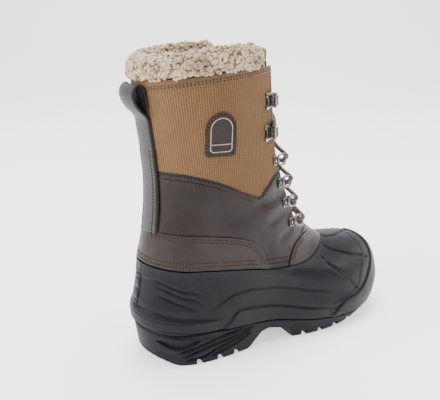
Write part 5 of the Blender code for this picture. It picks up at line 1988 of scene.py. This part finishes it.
class BOOT_OT_upper(bpy.types.Operator):
    """Makes the leather and woven parts of the shaft and its lining"""

    bl_idname = "boot.upper"
    bl_label = "Shaft"

    def execute(self, context):
        chosen = colours()
        leather = leather_piece(leather_look("upper_leather", chosen["leather"]))
        dress(leather, "upper_leather", "upper")
        nylon = nylon_piece(woven_look("upper_nylon", chosen["nylon_dark"], chosen["nylon_light"]))
        dress(nylon, "upper_leather", "upper")
        short_fleece = fleece_look("lining_fleece", chosen["fleece"], chosen["fleece_deep"], 300)
        lining, flat, area = lining_piece(short_fleece)
        dress(lining, "fleece")
        return {"FINISHED"}


class BOOT_OT_overlays(bpy.types.Operator):
    """Makes the counter, the vamp tab, the badge and the binding"""

    bl_idname = "boot.overlays"
    bl_label = "Overlays"

    def execute(self, context):
        chosen = colours()
        look = leather_look("overlay_leather", chosen["overlay"])
        dress(counter_piece(look), "overlay_leather", "counter")
        dress(vamp_piece(look), "overlay_leather", "vamp_tab")
        patch = leather_look("badge_leather", BADGE_LEATHER, 0.5)
        pale = plain_look("badge_line", BADGE_LINE, 0.7)
        band, line = badge_pieces(patch, pale)
        dress(band, "badge_leather", "badge")
        dress(line, "badge_leather", "badge")
        trim = tape_look("binding_nylon", BINDING)
        dress(binding_pieces(trim), "binding_nylon", "collar_binding")
        return {"FINISHED"}


class BOOT_OT_tongue(bpy.types.Operator):
    """Makes the tongue"""

    bl_idname = "boot.tongue"
    bl_label = "Tongue"

    def execute(self, context):
        chosen = colours()
        front = woven_look("tongue_nylon", chosen["nylon_dark"], chosen["nylon_light"])
        edge = plain_look("tongue_edge", TONGUE_EDGE, 0.6)
        back = fleece_look("tongue_fleece", chosen["fleece"], chosen["fleece_deep"])
        for piece in tongue_pieces(front, edge, back):
            dress(piece, "tongue_nylon", "tongue")
        return {"FINISHED"}


class BOOT_OT_fleece(bpy.types.Operator):
    """Makes the fleece cuff and its curls"""

    bl_idname = "boot.fleece"
    bl_label = "Fleece"

    def execute(self, context):
        chosen = colours()
        # The cuff under the curls takes the root colour, darkened further, as painted shade between the curls
        deep = fleece_look("fleece_roots", chosen["fleece_deep"], toned(chosen["fleece_deep"], 0.7))
        curls = fleece_look("fleece_curls", chosen["fleece"], chosen["fleece_deep"])
        base = fleece_base(deep)
        tree = fleece_tree(curls)
        ground = face_share(base, shows)
        chances = {
            "Gap": sizes().curl_gap, "Density": CURL_DENSITY, "Curl": sizes().curl, "Seed": CURL_SEED,
        }
        tufts = run_tree(ground, tree, chances)
        tufts.name = "fleece_curls"
        dress(base, "fleece", "fleece_collar")
        dress(tufts, "fleece", "fleece_collar")
        return {"FINISHED"}


class BOOT_OT_strap(bpy.types.Operator):
    """Makes the back stay and its pull loop"""

    bl_idname = "boot.strap"
    bl_label = "Strap"

    def execute(self, context):
        chosen = colours()
        edge = plain_look("strap_edge", STRAP_EDGE, 0.6)
        tape, pipes = strap_pieces(tape_look("strap_tape", chosen["strap"]), edge)
        dress(tape, "strap_tape", "back_strap")
        for number, pipe in enumerate(pipes):
            pipe.name = f"strap_pipe_{number + 1}"
            dress(pipe, "strap_tape", "back_strap")
        return {"FINISHED"}


class BOOT_OT_hardware(bpy.types.Operator):
    """Makes the lace rings and hooks"""

    bl_idname = "boot.hardware"
    bl_label = "Rings and hooks"

    def execute(self, context):
        pewter = metal_look("ring_metal", RING_METAL, 0.34)
        steel = metal_look("hook_metal", HOOK_METAL, 0.27)
        dark = plain_look("clip_dark", CLIP_DARK, 0.45)
        for side, word in ((-1, "lateral"), (1, "medial")):
            for number, height in enumerate(RING_ROWS):
                ring = ring_pieces(f"ring_{word}_{number + 1}", side, height, pewter, dark)
                dress(ring, "ring_metal", f"lace_{ring.name}")
            for number, (height, across) in enumerate(zip(HOOK_ROWS, HOOK_ACROSS)):
                hook = hook_pieces(f"hook_{word}_{number + 1}", side, across, height, steel, dark)
                dress(hook, "hook_metal", f"lace_{hook.name}")
        return {"FINISHED"}


class BOOT_OT_lace(bpy.types.Operator):
    """Runs the lace through the rings and hooks"""

    bl_idname = "boot.lace"
    bl_label = "Lace"

    def execute(self, context):
        look = lace_look("lace_cord", LACE_DARK, LACE_LIGHT)
        radius = sizes().lace_radius * LACE_SQUEEZE
        halves = [tube("lace", catmull(lace_path(side), 8), radius, 12, look) for side in (-1, 1)]
        lace = joined("lace", halves)
        dress(lace, "lace_cord", *[f"lace_cross_{number}" for number in range(1, 6)])
        return {"FINISHED"}


class BOOT_OT_stitches(bpy.types.Operator):
    """Sews the leather and the binding"""

    bl_idname = "boot.stitches"
    bl_label = "Stitches"

    def execute(self, context):
        chosen = colours()
        hole = plain_look("needle_hole", NEEDLE_HOLE_SHADE, 0.9, 0.1)
        thread = plain_look("leather_thread", chosen["thread"], 0.6)
        tan = plain_look("nylon_thread", NYLON_THREAD, 0.7)
        stitch = {
            "Pitch": sizes().stitch_pitch,
            "Length": sizes().stitch_length,
            "Thickness": sizes().thread_radius,
        }
        sewn = run_tree(row_object("leather_stitches", leather_rows()), stitch_tree(thread, hole), stitch)
        dress(sewn, "overlay_leather")
        bound = run_tree(row_object("binding_stitches", nylon_rows()), stitch_tree(tan, hole), stitch)
        dress(bound, "binding_nylon")
        return {"FINISHED"}


class BOOT_OT_insole(bpy.types.Operator):
    """Makes the felt foot bed"""

    bl_idname = "boot.insole"
    bl_label = "Foot bed"

    def execute(self, context):
        felt = plain_look("insole_felt", FELT, 0.95, 0.1)
        dress(insole_piece(felt), "insole_felt", "insole")
        return {"FINISHED"}


OPERATORS = (
    BOOT_OT_stage,
    BOOT_OT_rubber,
    BOOT_OT_upper,
    BOOT_OT_overlays,
    BOOT_OT_tongue,
    BOOT_OT_fleece,
    BOOT_OT_strap,
    BOOT_OT_hardware,
    BOOT_OT_lace,
    BOOT_OT_stitches,
    BOOT_OT_insole,
)


class BOOT_PT_panel(bpy.types.Panel):
    """The boot's sizes, colours and pieces"""

    bl_idname = "BOOT_PT_panel"
    bl_label = "Fleece-lined pac boot"
    bl_space_type = "VIEW_3D"
    bl_region_type = "UI"
    bl_category = "Boot"

    def draw(self, context):
        for group in (context.scene.boot_sizes, context.scene.boot_colours):
            for name in type(group).__annotations__:
                self.layout.prop(group, name)
        for operator in OPERATORS:
            self.layout.operator(operator.bl_idname)


CLASSES = (BootColours, BootSizes, *OPERATORS, BOOT_PT_panel)


def register():
    for kind in CLASSES:
        bpy.utils.register_class(kind)
    bpy.types.Scene.boot_colours = bpy.props.PointerProperty(type=BootColours)
    bpy.types.Scene.boot_sizes = bpy.props.PointerProperty(type=BootSizes)


def unregister():
    del bpy.types.Scene.boot_sizes
    del bpy.types.Scene.boot_colours
    for kind in reversed(CLASSES):
        bpy.utils.unregister_class(kind)


def corners(box):
    return [[float(value) for value in corner] for corner in box]


def main():
    register()
    for operator in OPERATORS:
        group, name = operator.bl_idname.split(".")
        getattr(getattr(bpy.ops, group), name)()


if __name__ == "__main__":
    main()
